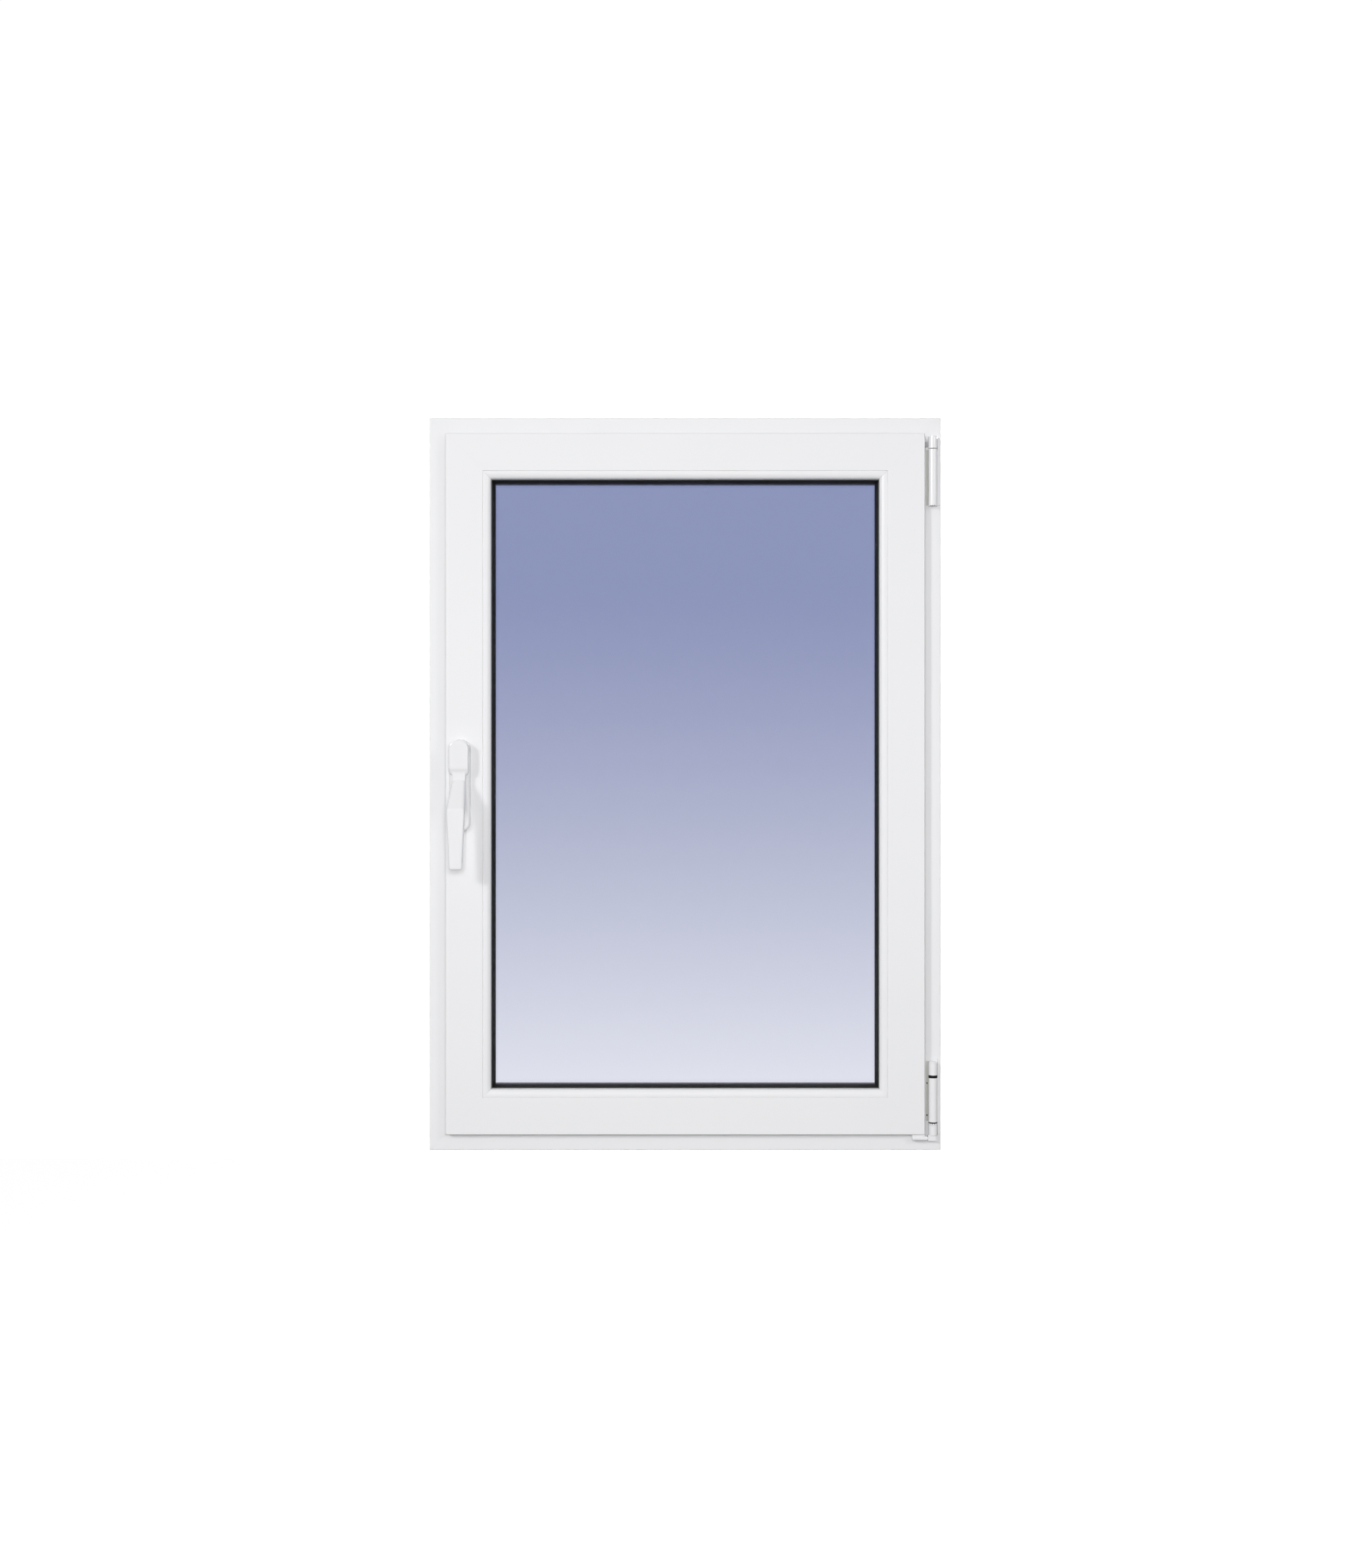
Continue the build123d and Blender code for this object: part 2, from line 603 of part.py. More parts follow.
# Lock rod in the groove of the lock stile, with its bolts, and the keeps on the frame
lock_edge_x = -FRAME_WIDTH / 2 + TUBE_U
rod_x0 = lock_edge_x + GROOVE_LIP + 0.3
rod_mid = (FRAME_HEIGHT - ROD_TRAVEL) / 2
rod = block(
    rod_x0,
    rod_x0 + ROD_THICKNESS,
    GROOVE_CENTRE_V - GROOVE_WIDTH / 2 + 0.5,
    GROOVE_CENTRE_V + GROOVE_WIDTH / 2 - 0.5,
    rod_mid - ROD_LENGTH / 2,
    rod_mid + ROD_LENGTH / 2,
)
keeps = []
keep_x0 = -FRAME_WIDTH / 2 + REBATE_U
for step in (-1, 0, 1):
    z = rod_mid + step * LOCK_POINT_SPACING
    bolt = rod_x(lock_edge_x - BOLT_REACH, rod_x0 + ROD_THICKNESS / 2, GROOVE_CENTRE_V, z, BOLT_RADIUS)
    rod = rod + chamfer(bolt.faces().sort_by(Axis.X)[0].edges(), 0.8)
    keep_z = z + ROD_TRAVEL / 2
    keep = block(
        keep_x0,
        keep_x0 + KEEP_THICKNESS,
        GROOVE_CENTRE_V - GROOVE_WIDTH / 2,
        GROOVE_CENTRE_V + GROOVE_WIDTH / 2,
        keep_z - KEEP_LENGTH / 2,
        keep_z + KEEP_LENGTH / 2,
    )
    keeps.append(chamfer(keep.faces().sort_by(Axis.X)[-1].edges(), 1.0))
save(rod, "lock_rod")
save(Compound(keeps), "lock_keeps")

# Handle base on the sash's face
base_front = SASH_FACE_V - HANDLE_BASE_DEPTH
base_mid = HANDLE_Z - HANDLE_BASE_DROP
base_plane = Plane((HANDLE_X, SASH_FACE_V, base_mid), x_dir=(1, 0, 0), z_dir=(0, -1, 0))
outline = RectangleRounded(HANDLE_BASE_WIDTH, HANDLE_BASE_HEIGHT, HANDLE_BASE_WIDTH * 0.46)
base = extrude(base_plane * outline, amount=HANDLE_BASE_DEPTH, taper=HANDLE_BASE_TAPER)
base = fillet(base.faces().sort_by(Axis.Y)[0].edges(), 3.0)
spindle_end = SASH_FACE_V - SPINDLE_INSET
base = base - rod_y(
    HANDLE_X, base_front - 1, spindle_end + 0.5, HANDLE_Z, SPINDLE_RADIUS + PIN_CLEARANCE
)
save(base, "handle_base")

# Handle lever: arched hub that falls away at its foot, cranked neck under an arch, tapering grip
hub_back = base_front - HUB_GAP
hub_front = hub_back - HUB_DEPTH
hub_low = HANDLE_Z - HUB_HEIGHT / 2
hub_high = HANDLE_Z + HUB_HEIGHT / 2
hub_left = HANDLE_X - HUB_WIDTH / 2
hub_right = HANDLE_X + HUB_WIDTH / 2
front_view = Plane((0, SASH_FACE_V, 0), x_dir=(1, 0, 0), z_dir=(0, -1, 0))
hub_side = poly(
    (hub_front, hub_high + 1),
    (hub_front, hub_low + HUB_FALL),
    (hub_back - HUB_FOOT, hub_low),
    (hub_back, hub_low),
    (hub_back, hub_high + 1),
)
hub_view = Plane((hub_left, 0, 0), x_dir=(0, 1, 0), z_dir=(1, 0, 0))
hub_outline = rect(hub_left, hub_right, hub_low, hub_high)
hub_outline = soften(hub_outline, HUB_WIDTH * 0.44, (hub_left, hub_high), (hub_right, hub_high))
hub_outline = soften(hub_outline, HUB_CORNER, (hub_left, hub_low), (hub_right, hub_low))
hub = extrude(hub_view * hub_side, amount=HUB_WIDTH) & extrude(front_view * hub_outline, amount=GRIP_FRONT)
rounded = [e for e in hub.edges() if e.center().Y < hub_back - HUB_FOOT + 0.5]
hub = fillet(rounded, HUB_EDGE_RADIUS)

grip_front = SASH_FACE_V - GRIP_FRONT
grip_back = grip_front + GRIP_THICKNESS
grip_low = HANDLE_Z - GRIP_REACH
bend_z = HANDLE_Z - BEND_DROP
neck_front = hub_front + NECK_STEP
neck_back = base_front - LEVER_CLEARANCE
arch_z = hub_low - ARCH_DROP
half_arch = ARCH_WIDTH / 2
half_top = GRIP_TOP_WIDTH / 2
half_tip = GRIP_TIP_WIDTH / 2
back_bend_z = bend_z - GRIP_THICKNESS / 4
back_start_z = hub_low - CRANK_BACK_DROP
side_face = poly(
    (neck_front, arch_z),
    (grip_front, bend_z),
    (grip_front, grip_low),
    (grip_back, grip_low),
    (grip_back, back_bend_z),
    (neck_back, back_start_z),
    (neck_back, arch_z),
)
side_face = soften(side_face, BEND_RADIUS * 2, (grip_back, back_bend_z))
side_view = Plane((HANDLE_X - half_top, 0, 0), x_dir=(0, 1, 0), z_dir=(1, 0, 0))
lever = extrude(side_view * side_face, amount=GRIP_TOP_WIDTH)
front_face = poly(
    (HANDLE_X - half_arch, arch_z),
    (HANDLE_X - half_top, bend_z),
    (HANDLE_X - half_tip, grip_low),
    (HANDLE_X + half_tip, grip_low),
    (HANDLE_X + half_top, bend_z),
    (HANDLE_X + half_arch, arch_z),
)
front_face = soften(front_face, ARCH_RADIUS, (HANDLE_X - half_arch, arch_z), (HANDLE_X + half_arch, arch_z))
front_face = soften(front_face, 2.4, (HANDLE_X - half_tip, grip_low), (HANDLE_X + half_tip, grip_low))
lever = lever & extrude(front_view * front_face, amount=GRIP_FRONT + 1)
slope_face = max((f for f in lever.faces() if f.normal_at().Z > 0.3), key=lambda f: f.area)
crest = [e for e in slope_face.edges() if bend_z + 1 < e.center().Z < arch_z - 0.5]
lever = fillet(crest, CREST_RADIUS)
tip_front = lever.faces().sort_by(Axis.Y)[0].edges().sort_by(Axis.Z)[0]
lever = fillet(tip_front, LEVER_EDGE_RADIUS)
grip_rear = [e for e in lever.edges() if abs(e.center().Y - grip_back) < 0.01 and e.center().Z < back_bend_z]
lever = fillet(grip_rear, LEVER_EDGE_RADIUS)
back_slope = (grip_back - neck_back) / (back_start_z - back_bend_z)
band_low = back_start_z + (neck_back - neck_front) / back_slope
band_face = poly(
    (neck_front, hub_low + HUB_FALL / 2),
    (neck_front, band_low),
    (neck_back, back_start_z),
    (neck_back, hub_low + HUB_FALL / 2),
)
band_view = Plane((HANDLE_X - half_arch, 0, 0), x_dir=(0, 1, 0), z_dir=(1, 0, 0))
band = extrude(band_view * band_face, amount=ARCH_WIDTH)
spindle = rod_y(HANDLE_X, hub_back - 2.0, spindle_end, HANDLE_Z, SPINDLE_RADIUS)
save(hub + band + lever + spindle, "handle_lever")
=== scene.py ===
"""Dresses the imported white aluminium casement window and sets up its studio."""

import logging
import math
from dataclasses import dataclass, field
from enum import Enum
from typing import Callable, Sequence

import bpy
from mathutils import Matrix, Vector


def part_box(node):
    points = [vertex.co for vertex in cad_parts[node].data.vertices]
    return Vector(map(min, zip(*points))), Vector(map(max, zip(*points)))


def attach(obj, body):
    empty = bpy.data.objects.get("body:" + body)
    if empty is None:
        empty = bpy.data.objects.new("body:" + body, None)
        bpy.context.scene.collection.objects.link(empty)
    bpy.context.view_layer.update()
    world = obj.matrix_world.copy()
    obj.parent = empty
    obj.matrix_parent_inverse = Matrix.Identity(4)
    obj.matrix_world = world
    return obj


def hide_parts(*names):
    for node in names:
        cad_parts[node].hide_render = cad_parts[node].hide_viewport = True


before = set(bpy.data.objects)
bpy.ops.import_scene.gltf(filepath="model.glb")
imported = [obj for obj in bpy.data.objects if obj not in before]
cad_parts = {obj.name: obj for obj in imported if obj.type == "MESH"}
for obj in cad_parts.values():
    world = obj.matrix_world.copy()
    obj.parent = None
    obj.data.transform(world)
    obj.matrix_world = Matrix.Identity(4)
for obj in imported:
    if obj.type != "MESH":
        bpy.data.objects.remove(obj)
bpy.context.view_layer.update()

LOG = logging.getLogger("casement_window")

FaceTest = Callable[[Vector, Vector], bool]


class Side(Enum):
    """Direction that a fastener's head faces."""

    ROOM = (math.pi / 2, 0.0, 0.0)
    OUTDOORS = (-math.pi / 2, 0.0, 0.0)
    RIGHT = (0.0, math.pi / 2, 0.0)
    LEFT = (0.0, -math.pi / 2, 0.0)
    UP = (0.0, 0.0, 0.0)


class Bench:
    """Small set of hand tools around the operators."""

    @staticmethod
    def clear() -> None:
        """Leave object mode with nothing selected."""
        if bpy.context.mode != "OBJECT":
            bpy.ops.object.mode_set(mode="OBJECT")
        bpy.ops.object.select_all(action="DESELECT")

    @staticmethod
    def pick(piece: bpy.types.Object) -> None:
        """Make one piece the only selected and active one."""
        Bench.clear()
        piece.select_set(True)
        bpy.context.view_layer.objects.active = piece

    @staticmethod
    def edit_faces(piece: bpy.types.Object, test: FaceTest) -> None:
        """Enter edit mode with the faces that pass a test selected.

        Args:
            piece: The mesh object to edit.
            test: Takes a face's centre and normal, true where the face is wanted.
        """
        Bench.pick(piece)
        bpy.ops.object.mode_set(mode="EDIT")
        bpy.ops.mesh.select_mode(type="FACE")
        bpy.ops.mesh.select_all(action="DESELECT")
        bpy.ops.object.mode_set(mode="OBJECT")
        for face in piece.data.polygons:
            face.select = test(face.center, face.normal)
        bpy.ops.object.mode_set(mode="EDIT")

    @staticmethod
    def settle(piece: bpy.types.Object) -> None:
        """Put a piece's place and turn into its mesh."""
        Bench.pick(piece)
        bpy.ops.object.transform_apply(location=True, rotation=True, scale=True)

    @staticmethod
    def dress(piece: bpy.types.Object, material: bpy.types.Material) -> None:
        """Give a piece one material all over."""
        piece.data.materials.clear()
        piece.data.materials.append(material)

    @staticmethod
    def join(pieces: Sequence[bpy.types.Object], name: str) -> bpy.types.Object:
        """Join pieces into the first of them.

        Args:
            pieces: One or more mesh objects.
            name: The joined piece's name.

        Returns:
            The joined piece.
        """
        Bench.pick(pieces[0])
        for piece in pieces[1:]:
            piece.select_set(True)
        if len(pieces) > 1:
            bpy.ops.object.join()
        joined = bpy.context.active_object
        joined.name = name
        return joined

    @staticmethod
    def extrude(shift: Sequence[float]) -> None:
        """Extrude the selected faces by a shift."""
        bpy.ops.mesh.extrude_region_move(TRANSFORM_OT_translate={"value": tuple(shift)})

    @staticmethod
    def cylinder(
        name: str, radius: float, low: float, high: float, corners: int = 32
    ) -> bpy.types.Object:
        """Start a piece from an upright cylinder between two heights.

        Args:
            name: The piece's name.
            radius: Its radius in metres.
            low: Height of its lower end.
            high: Height of its upper end.
            corners: Number of sides.

        Returns:
            The new object, in object mode.
        """
        Bench.clear()
        bpy.ops.mesh.primitive_cylinder_add(
            vertices=corners, radius=radius, depth=high - low, location=(0.0, 0.0, (low + high) / 2)
        )
        piece = bpy.context.active_object
        piece.name = name
        bpy.ops.object.transform_apply(location=True, rotation=True, scale=True)
        return piece

    @staticmethod
    def cube(name: str, low: Sequence[float], high: Sequence[float]) -> bpy.types.Object:
        """Start a piece from a box between two corners.

        Args:
            name: The piece's name.
            low: Lowest corner in metres.
            high: Highest corner in metres.

        Returns:
            The new object, in object mode.
        """
        Bench.clear()
        centre = [(a + b) / 2 for a, b in zip(low, high)]
        bpy.ops.mesh.primitive_cube_add(size=1.0, location=centre)
        piece = bpy.context.active_object
        piece.name = name
        piece.scale = [b - a for a, b in zip(low, high)]
        bpy.ops.object.transform_apply(location=True, rotation=True, scale=True)
        return piece

    @staticmethod
    def cut(piece: bpy.types.Object, cutter: bpy.types.Object) -> None:
        """Take a cutter's shape out of a piece and delete the cutter."""
        Bench.pick(piece)
        tool = piece.modifiers.new("cut", "BOOLEAN")
        tool.operation = "DIFFERENCE"
        tool.solver = "EXACT"
        tool.object = cutter
        bpy.ops.object.modifier_apply(modifier=tool.name)
        bpy.data.objects.remove(cutter, do_unlink=True)

    @staticmethod
    def soften(piece: bpy.types.Object, width: float, segments: int = 2, angle: float = 30.0) -> None:
        """Round a piece's edges with an applied bevel."""
        Bench.pick(piece)
        tool = piece.modifiers.new("edges", "BEVEL")
        tool.width = width
        tool.segments = segments
        tool.limit_method = "ANGLE"
        tool.angle_limit = math.radians(angle)
        bpy.ops.object.modifier_apply(modifier=tool.name)
        bpy.ops.object.shade_smooth_by_angle(angle=math.radians(35.0))

    @staticmethod
    def copies(
        pattern: bpy.types.Object,
        name: str,
        places: Sequence[Sequence[float]],
        turns: Sequence[Sequence[float]],
    ) -> bpy.types.Object:
        """Copy a pattern piece to several places and join the copies.

        Args:
            pattern: The piece modelled at the origin. It is deleted.
            name: The joined piece's name.
            places: Where each copy's origin goes, in metres.
            turns: How each copy is turned about the axes.

        Returns:
            One object at the origin with the places in its mesh.
        """
        made = []
        for place, turn in zip(places, turns):
            Bench.pick(pattern)
            bpy.ops.object.duplicate(linked=False)
            copy = bpy.context.active_object
            copy.rotation_euler = turn
            copy.location = place
            Bench.settle(copy)
            made.append(copy)
        bpy.data.objects.remove(pattern, do_unlink=True)
        return Bench.join(made, name)


class Nodes:
    """Builds shader node trees."""

    def __init__(self, tree: bpy.types.NodeTree) -> None:
        """Work on one tree."""
        self.tree = tree

    def add(self, kind: str, **values: object) -> bpy.types.Node:
        """Add a node and set its properties.

        Args:
            kind: The node's type name.
            values: Properties to set.

        Returns:
            The new node.
        """
        node = self.tree.nodes.new(kind)
        for key, value in values.items():
            setattr(node, key, value)
        return node

    def link(self, source: bpy.types.NodeSocket, target: bpy.types.NodeSocket) -> None:
        """Join two sockets."""
        self.tree.links.new(source, target)

    def math(self, operation: str, first: object, second: object) -> bpy.types.NodeSocket:
        """Add a math node on sockets or numbers and return its result."""
        node = self.add("ShaderNodeMath", operation=operation)
        for socket, value in zip(node.inputs, (first, second)):
            if isinstance(value, bpy.types.NodeSocket):
                self.link(value, socket)
            else:
                socket.default_value = value
        return node.outputs[0]

    def noise(self, vector: bpy.types.NodeSocket, scale: float, detail: float) -> bpy.types.NodeSocket:
        """Add a noise texture and return its factor."""
        node = self.add("ShaderNodeTexNoise")
        node.inputs["Scale"].default_value = scale
        node.inputs["Detail"].default_value = detail
        self.link(vector, node.inputs["Vector"])
        return node.outputs["Fac"]


class Effects:
    """Shader node groups that several finishes share."""

    TONE_SCALE = 7.0
    ROUGH_SWING = 0.16
    DUST_TURN = 0.35
    DUST_SCALE = 60.0
    LINE_SWING = 0.35

    def __init__(self) -> None:
        """Build each group once."""
        self.peel = self._peel()
        self.film = self._film()
        self.drawn = self._drawn()

    @staticmethod
    def _group(name: str, inputs: Sequence[tuple], outputs: Sequence[tuple]) -> tuple:
        """Start a group with named sockets.

        Args:
            name: The group's name.
            inputs: Name, socket type and default of each input.
            outputs: Name and socket type of each output.

        Returns:
            The tree, its input node and its output node.
        """
        tree = bpy.data.node_groups.new(name, "ShaderNodeTree")
        for label, kind, default in inputs:
            socket = tree.interface.new_socket(label, in_out="INPUT", socket_type=kind)
            socket.default_value = default
        for label, kind in outputs:
            tree.interface.new_socket(label, in_out="OUTPUT", socket_type=kind)
        entry = tree.nodes.new("NodeGroupInput")
        leave = tree.nodes.new("NodeGroupOutput")
        return tree, entry, leave

    def _peel(self) -> bpy.types.NodeTree:
        """Fine peel of a baked coat: height, roughness and slow tone change."""
        tree, entry, leave = self._group(
            "coat_peel",
            (
                ("Color", "NodeSocketColor", (0.8, 0.8, 0.8, 1.0)),
                ("Tone", "NodeSocketFloat", 0.02),
                ("Grain", "NodeSocketFloat", 1200.0),
                ("Roughness", "NodeSocketFloat", 0.35),
            ),
            (
                ("Color", "NodeSocketColor"),
                ("Roughness", "NodeSocketFloat"),
                ("Height", "NodeSocketFloat"),
            ),
        )
        nodes = Nodes(tree)
        place = nodes.add("ShaderNodeTexCoord").outputs["Object"]
        slow = nodes.noise(place, self.TONE_SCALE, 3.0)
        grain = nodes.add("ShaderNodeTexNoise")
        grain.inputs["Detail"].default_value = 2.0
        nodes.link(place, grain.inputs["Vector"])
        nodes.link(entry.outputs["Grain"], grain.inputs["Scale"])
        swing = nodes.math("SUBTRACT", slow, 0.5)
        change = nodes.math("MULTIPLY", swing, entry.outputs["Tone"])
        lift = nodes.math("ADD", change, 1.0)
        tint = nodes.add("ShaderNodeVectorMath", operation="SCALE")
        nodes.link(entry.outputs["Color"], tint.inputs[0])
        nodes.link(lift, tint.inputs["Scale"])
        nodes.link(tint.outputs["Vector"], leave.inputs["Color"])
        rough_swing = nodes.math("MULTIPLY", swing, self.ROUGH_SWING)
        rough = nodes.math("ADD", entry.outputs["Roughness"], rough_swing)
        nodes.link(rough, leave.inputs["Roughness"])
        nodes.link(grain.outputs["Fac"], leave.inputs["Height"])
        return tree

    def _film(self) -> bpy.types.NodeTree:
        """Thin dust that settles on faces turned upwards."""
        tree, entry, leave = self._group(
            "dust_film",
            (
                ("Color", "NodeSocketColor", (0.8, 0.8, 0.8, 1.0)),
                ("Dust", "NodeSocketColor", (0.55, 0.52, 0.47, 1.0)),
                ("Amount", "NodeSocketFloat", 0.1),
            ),
            (("Color", "NodeSocketColor"), ("Mask", "NodeSocketFloat")),
        )
        nodes = Nodes(tree)
        place = nodes.add("ShaderNodeTexCoord").outputs["Object"]
        split = nodes.add("ShaderNodeSeparateXYZ")
        nodes.link(nodes.add("ShaderNodeNewGeometry").outputs["Normal"], split.inputs[0])
        up = nodes.add("ShaderNodeMapRange")
        up.inputs["From Min"].default_value = self.DUST_TURN
        up.inputs["From Max"].default_value = 1.0
        nodes.link(split.outputs["Z"], up.inputs["Value"])
        patch = nodes.noise(place, self.DUST_SCALE, 5.0)
        amount = nodes.math("MULTIPLY", patch, entry.outputs["Amount"])
        mask = nodes.math("MULTIPLY", up.outputs["Result"], amount)
        blend = nodes.add("ShaderNodeMix", data_type="RGBA")
        nodes.link(mask, blend.inputs["Factor"])
        nodes.link(entry.outputs["Color"], blend.inputs["A"])
        nodes.link(entry.outputs["Dust"], blend.inputs["B"])
        nodes.link(blend.outputs["Result"], leave.inputs["Color"])
        nodes.link(mask, leave.inputs["Mask"])
        return tree

    def _drawn(self) -> bpy.types.NodeTree:
        """Drawing lines along one axis of a rolled or drawn part."""
        tree, entry, leave = self._group(
            "drawn_lines",
            (
                ("Stretch", "NodeSocketVector", (40.0, 1500.0, 1500.0)),
                ("Roughness", "NodeSocketFloat", 0.3),
            ),
            (("Lines", "NodeSocketFloat"), ("Roughness", "NodeSocketFloat")),
        )
        nodes = Nodes(tree)
        place = nodes.add("ShaderNodeTexCoord").outputs["Object"]
        scale = nodes.add("ShaderNodeVectorMath", operation="MULTIPLY")
        nodes.link(place, scale.inputs[0])
        nodes.link(entry.outputs["Stretch"], scale.inputs[1])
        lines = nodes.noise(scale.outputs["Vector"], 1.0, 4.0)
        nodes.link(lines, leave.inputs["Lines"])
        swing = nodes.math("MULTIPLY", nodes.math("SUBTRACT", lines, 0.5), self.LINE_SWING)
        rough = nodes.math("ADD", entry.outputs["Roughness"], swing)
        nodes.link(rough, leave.inputs["Roughness"])
        return tree


@dataclass(frozen=True)
class CoatFinish:
    """Baked white coat on aluminium."""

    name: str
    color: tuple[float, float, float]
    roughness: float
    grain: float
    depth: float
    dust: float = 0.05
    coat: float = 0.0
    coat_roughness: float = 0.06
    bump: float = 0.25

    def make(self, effects: Effects) -> bpy.types.Material:
        """Build the material.

        Args:
            effects: The shared node groups.

        Returns:
            The finished material.
        """
        material = bpy.data.materials.new(self.name)
        material.use_nodes = True
        nodes = Nodes(material.node_tree)
        shader = material.node_tree.nodes["Principled BSDF"]
        peel = nodes.add("ShaderNodeGroup", node_tree=effects.peel)
        peel.inputs["Color"].default_value = (*self.color, 1.0)
        peel.inputs["Grain"].default_value = self.grain
        peel.inputs["Roughness"].default_value = self.roughness
        film = nodes.add("ShaderNodeGroup", node_tree=effects.film)
        film.inputs["Amount"].default_value = self.dust
        nodes.link(peel.outputs["Color"], film.inputs["Color"])
        nodes.link(film.outputs["Color"], shader.inputs["Base Color"])
        rough = nodes.math("ADD", peel.outputs["Roughness"], film.outputs["Mask"])
        nodes.link(rough, shader.inputs["Roughness"])
        bump = nodes.add("ShaderNodeBump")
        bump.inputs["Strength"].default_value = self.bump
        bump.inputs["Distance"].default_value = self.depth
        nodes.link(peel.outputs["Height"], bump.inputs["Height"])
        nodes.link(bump.outputs["Normal"], shader.inputs["Normal"])
        shader.inputs["Coat Weight"].default_value = self.coat
        shader.inputs["Coat Roughness"].default_value = self.coat_roughness
        return material


@dataclass(frozen=True)
class MetalFinish:
    """Bare or plated metal with drawing lines."""

    name: str
    color: tuple[float, float, float]
    roughness: float
    stretch: tuple[float, float, float]
    metal: float = 1.0
    tone: float = 0.3
    bump: float = 0.2
    depth: float = 0.00005

    def make(self, effects: Effects) -> bpy.types.Material:
        """Build the material.

        Args:
            effects: The shared node groups.

        Returns:
            The finished material.
        """
        material = bpy.data.materials.new(self.name)
        material.use_nodes = True
        nodes = Nodes(material.node_tree)
        shader = material.node_tree.nodes["Principled BSDF"]
        drawn = nodes.add("ShaderNodeGroup", node_tree=effects.drawn)
        drawn.inputs["Stretch"].default_value = self.stretch
        drawn.inputs["Roughness"].default_value = self.roughness
        peel = nodes.add("ShaderNodeGroup", node_tree=effects.peel)
        peel.inputs["Color"].default_value = (*self.color, 1.0)
        peel.inputs["Tone"].default_value = self.tone
        nodes.link(peel.outputs["Color"], shader.inputs["Base Color"])
        nodes.link(drawn.outputs["Roughness"], shader.inputs["Roughness"])
        bump = nodes.add("ShaderNodeBump")
        bump.inputs["Strength"].default_value = self.bump
        bump.inputs["Distance"].default_value = self.depth
        nodes.link(drawn.outputs["Lines"], bump.inputs["Height"])
        nodes.link(bump.outputs["Normal"], shader.inputs["Normal"])
        shader.inputs["Metallic"].default_value = self.metal
        return material


@dataclass(frozen=True)
class SealFinish:
    """Black rubber or moulded plastic."""

    name: str
    color: tuple[float, float, float]
    roughness: float
    dust: float = 0.1
    dust_color: tuple[float, float, float] = (0.12, 0.12, 0.115)
    tone: float = 0.5
    grain: float = 2500.0
    bump: float = 0.35
    depth: float = 0.0001

    def make(self, effects: Effects) -> bpy.types.Material:
        """Build the material.

        Args:
            effects: The shared node groups.

        Returns:
            The finished material.
        """
        material = bpy.data.materials.new(self.name)
        material.use_nodes = True
        nodes = Nodes(material.node_tree)
        shader = material.node_tree.nodes["Principled BSDF"]
        peel = nodes.add("ShaderNodeGroup", node_tree=effects.peel)
        peel.inputs["Color"].default_value = (*self.color, 1.0)
        peel.inputs["Tone"].default_value = self.tone
        peel.inputs["Grain"].default_value = self.grain
        peel.inputs["Roughness"].default_value = self.roughness
        film = nodes.add("ShaderNodeGroup", node_tree=effects.film)
        film.inputs["Dust"].default_value = (*self.dust_color, 1.0)
        film.inputs["Amount"].default_value = self.dust
        nodes.link(peel.outputs["Color"], film.inputs["Color"])
        nodes.link(film.outputs["Color"], shader.inputs["Base Color"])
        nodes.link(peel.outputs["Roughness"], shader.inputs["Roughness"])
        bump = nodes.add("ShaderNodeBump")
        bump.inputs["Strength"].default_value = self.bump
        bump.inputs["Distance"].default_value = self.depth
        nodes.link(peel.outputs["Height"], bump.inputs["Height"])
        nodes.link(bump.outputs["Normal"], shader.inputs["Normal"])
        return material


@dataclass(frozen=True)
class GlassFinish:
    """Float glass whose colour can run from nearly clear at the bottom to blue at the top; that gradient
    is painted sky light, not a tint that the glass has.
    """

    name: str
    low: tuple[float, float, float]
    high: tuple[float, float, float]
    low_z: float
    high_z: float
    curve: float = 1.0
    dust: float = 0.02
    ior: float = 1.45

    def make(self, effects: Effects) -> bpy.types.Material:
        """Build the material.

        Args:
            effects: The shared node groups.

        Returns:
            The finished material.
        """
        material = bpy.data.materials.new(self.name)
        material.use_nodes = True
        nodes = Nodes(material.node_tree)
        shader = material.node_tree.nodes["Principled BSDF"]
        place = nodes.add("ShaderNodeTexCoord").outputs["Object"]
        split = nodes.add("ShaderNodeSeparateXYZ")
        nodes.link(place, split.inputs[0])
        depth = nodes.add("ShaderNodeMapRange")
        depth.inputs["From Min"].default_value = self.high_z
        depth.inputs["From Max"].default_value = self.low_z
        nodes.link(split.outputs["Z"], depth.inputs["Value"])
        share = nodes.math("POWER", depth.outputs["Result"], self.curve)
        # Painted sky light: the colour fades from blue at the top to nearly clear at the bottom.
        sky_paint = nodes.add("ShaderNodeMix", data_type="RGBA")
        sky_paint.inputs["A"].default_value = (*self.high, 1.0)
        sky_paint.inputs["B"].default_value = (*self.low, 1.0)
        nodes.link(share, sky_paint.inputs["Factor"])
        film = nodes.add("ShaderNodeGroup", node_tree=effects.film)
        film.inputs["Amount"].default_value = self.dust
        nodes.link(sky_paint.outputs["Result"], film.inputs["Color"])
        nodes.link(film.outputs["Color"], shader.inputs["Base Color"])
        shader.inputs["Roughness"].default_value = 0.0
        shader.inputs["IOR"].default_value = self.ior
        shader.inputs["Transmission Weight"].default_value = 1.0
        return material


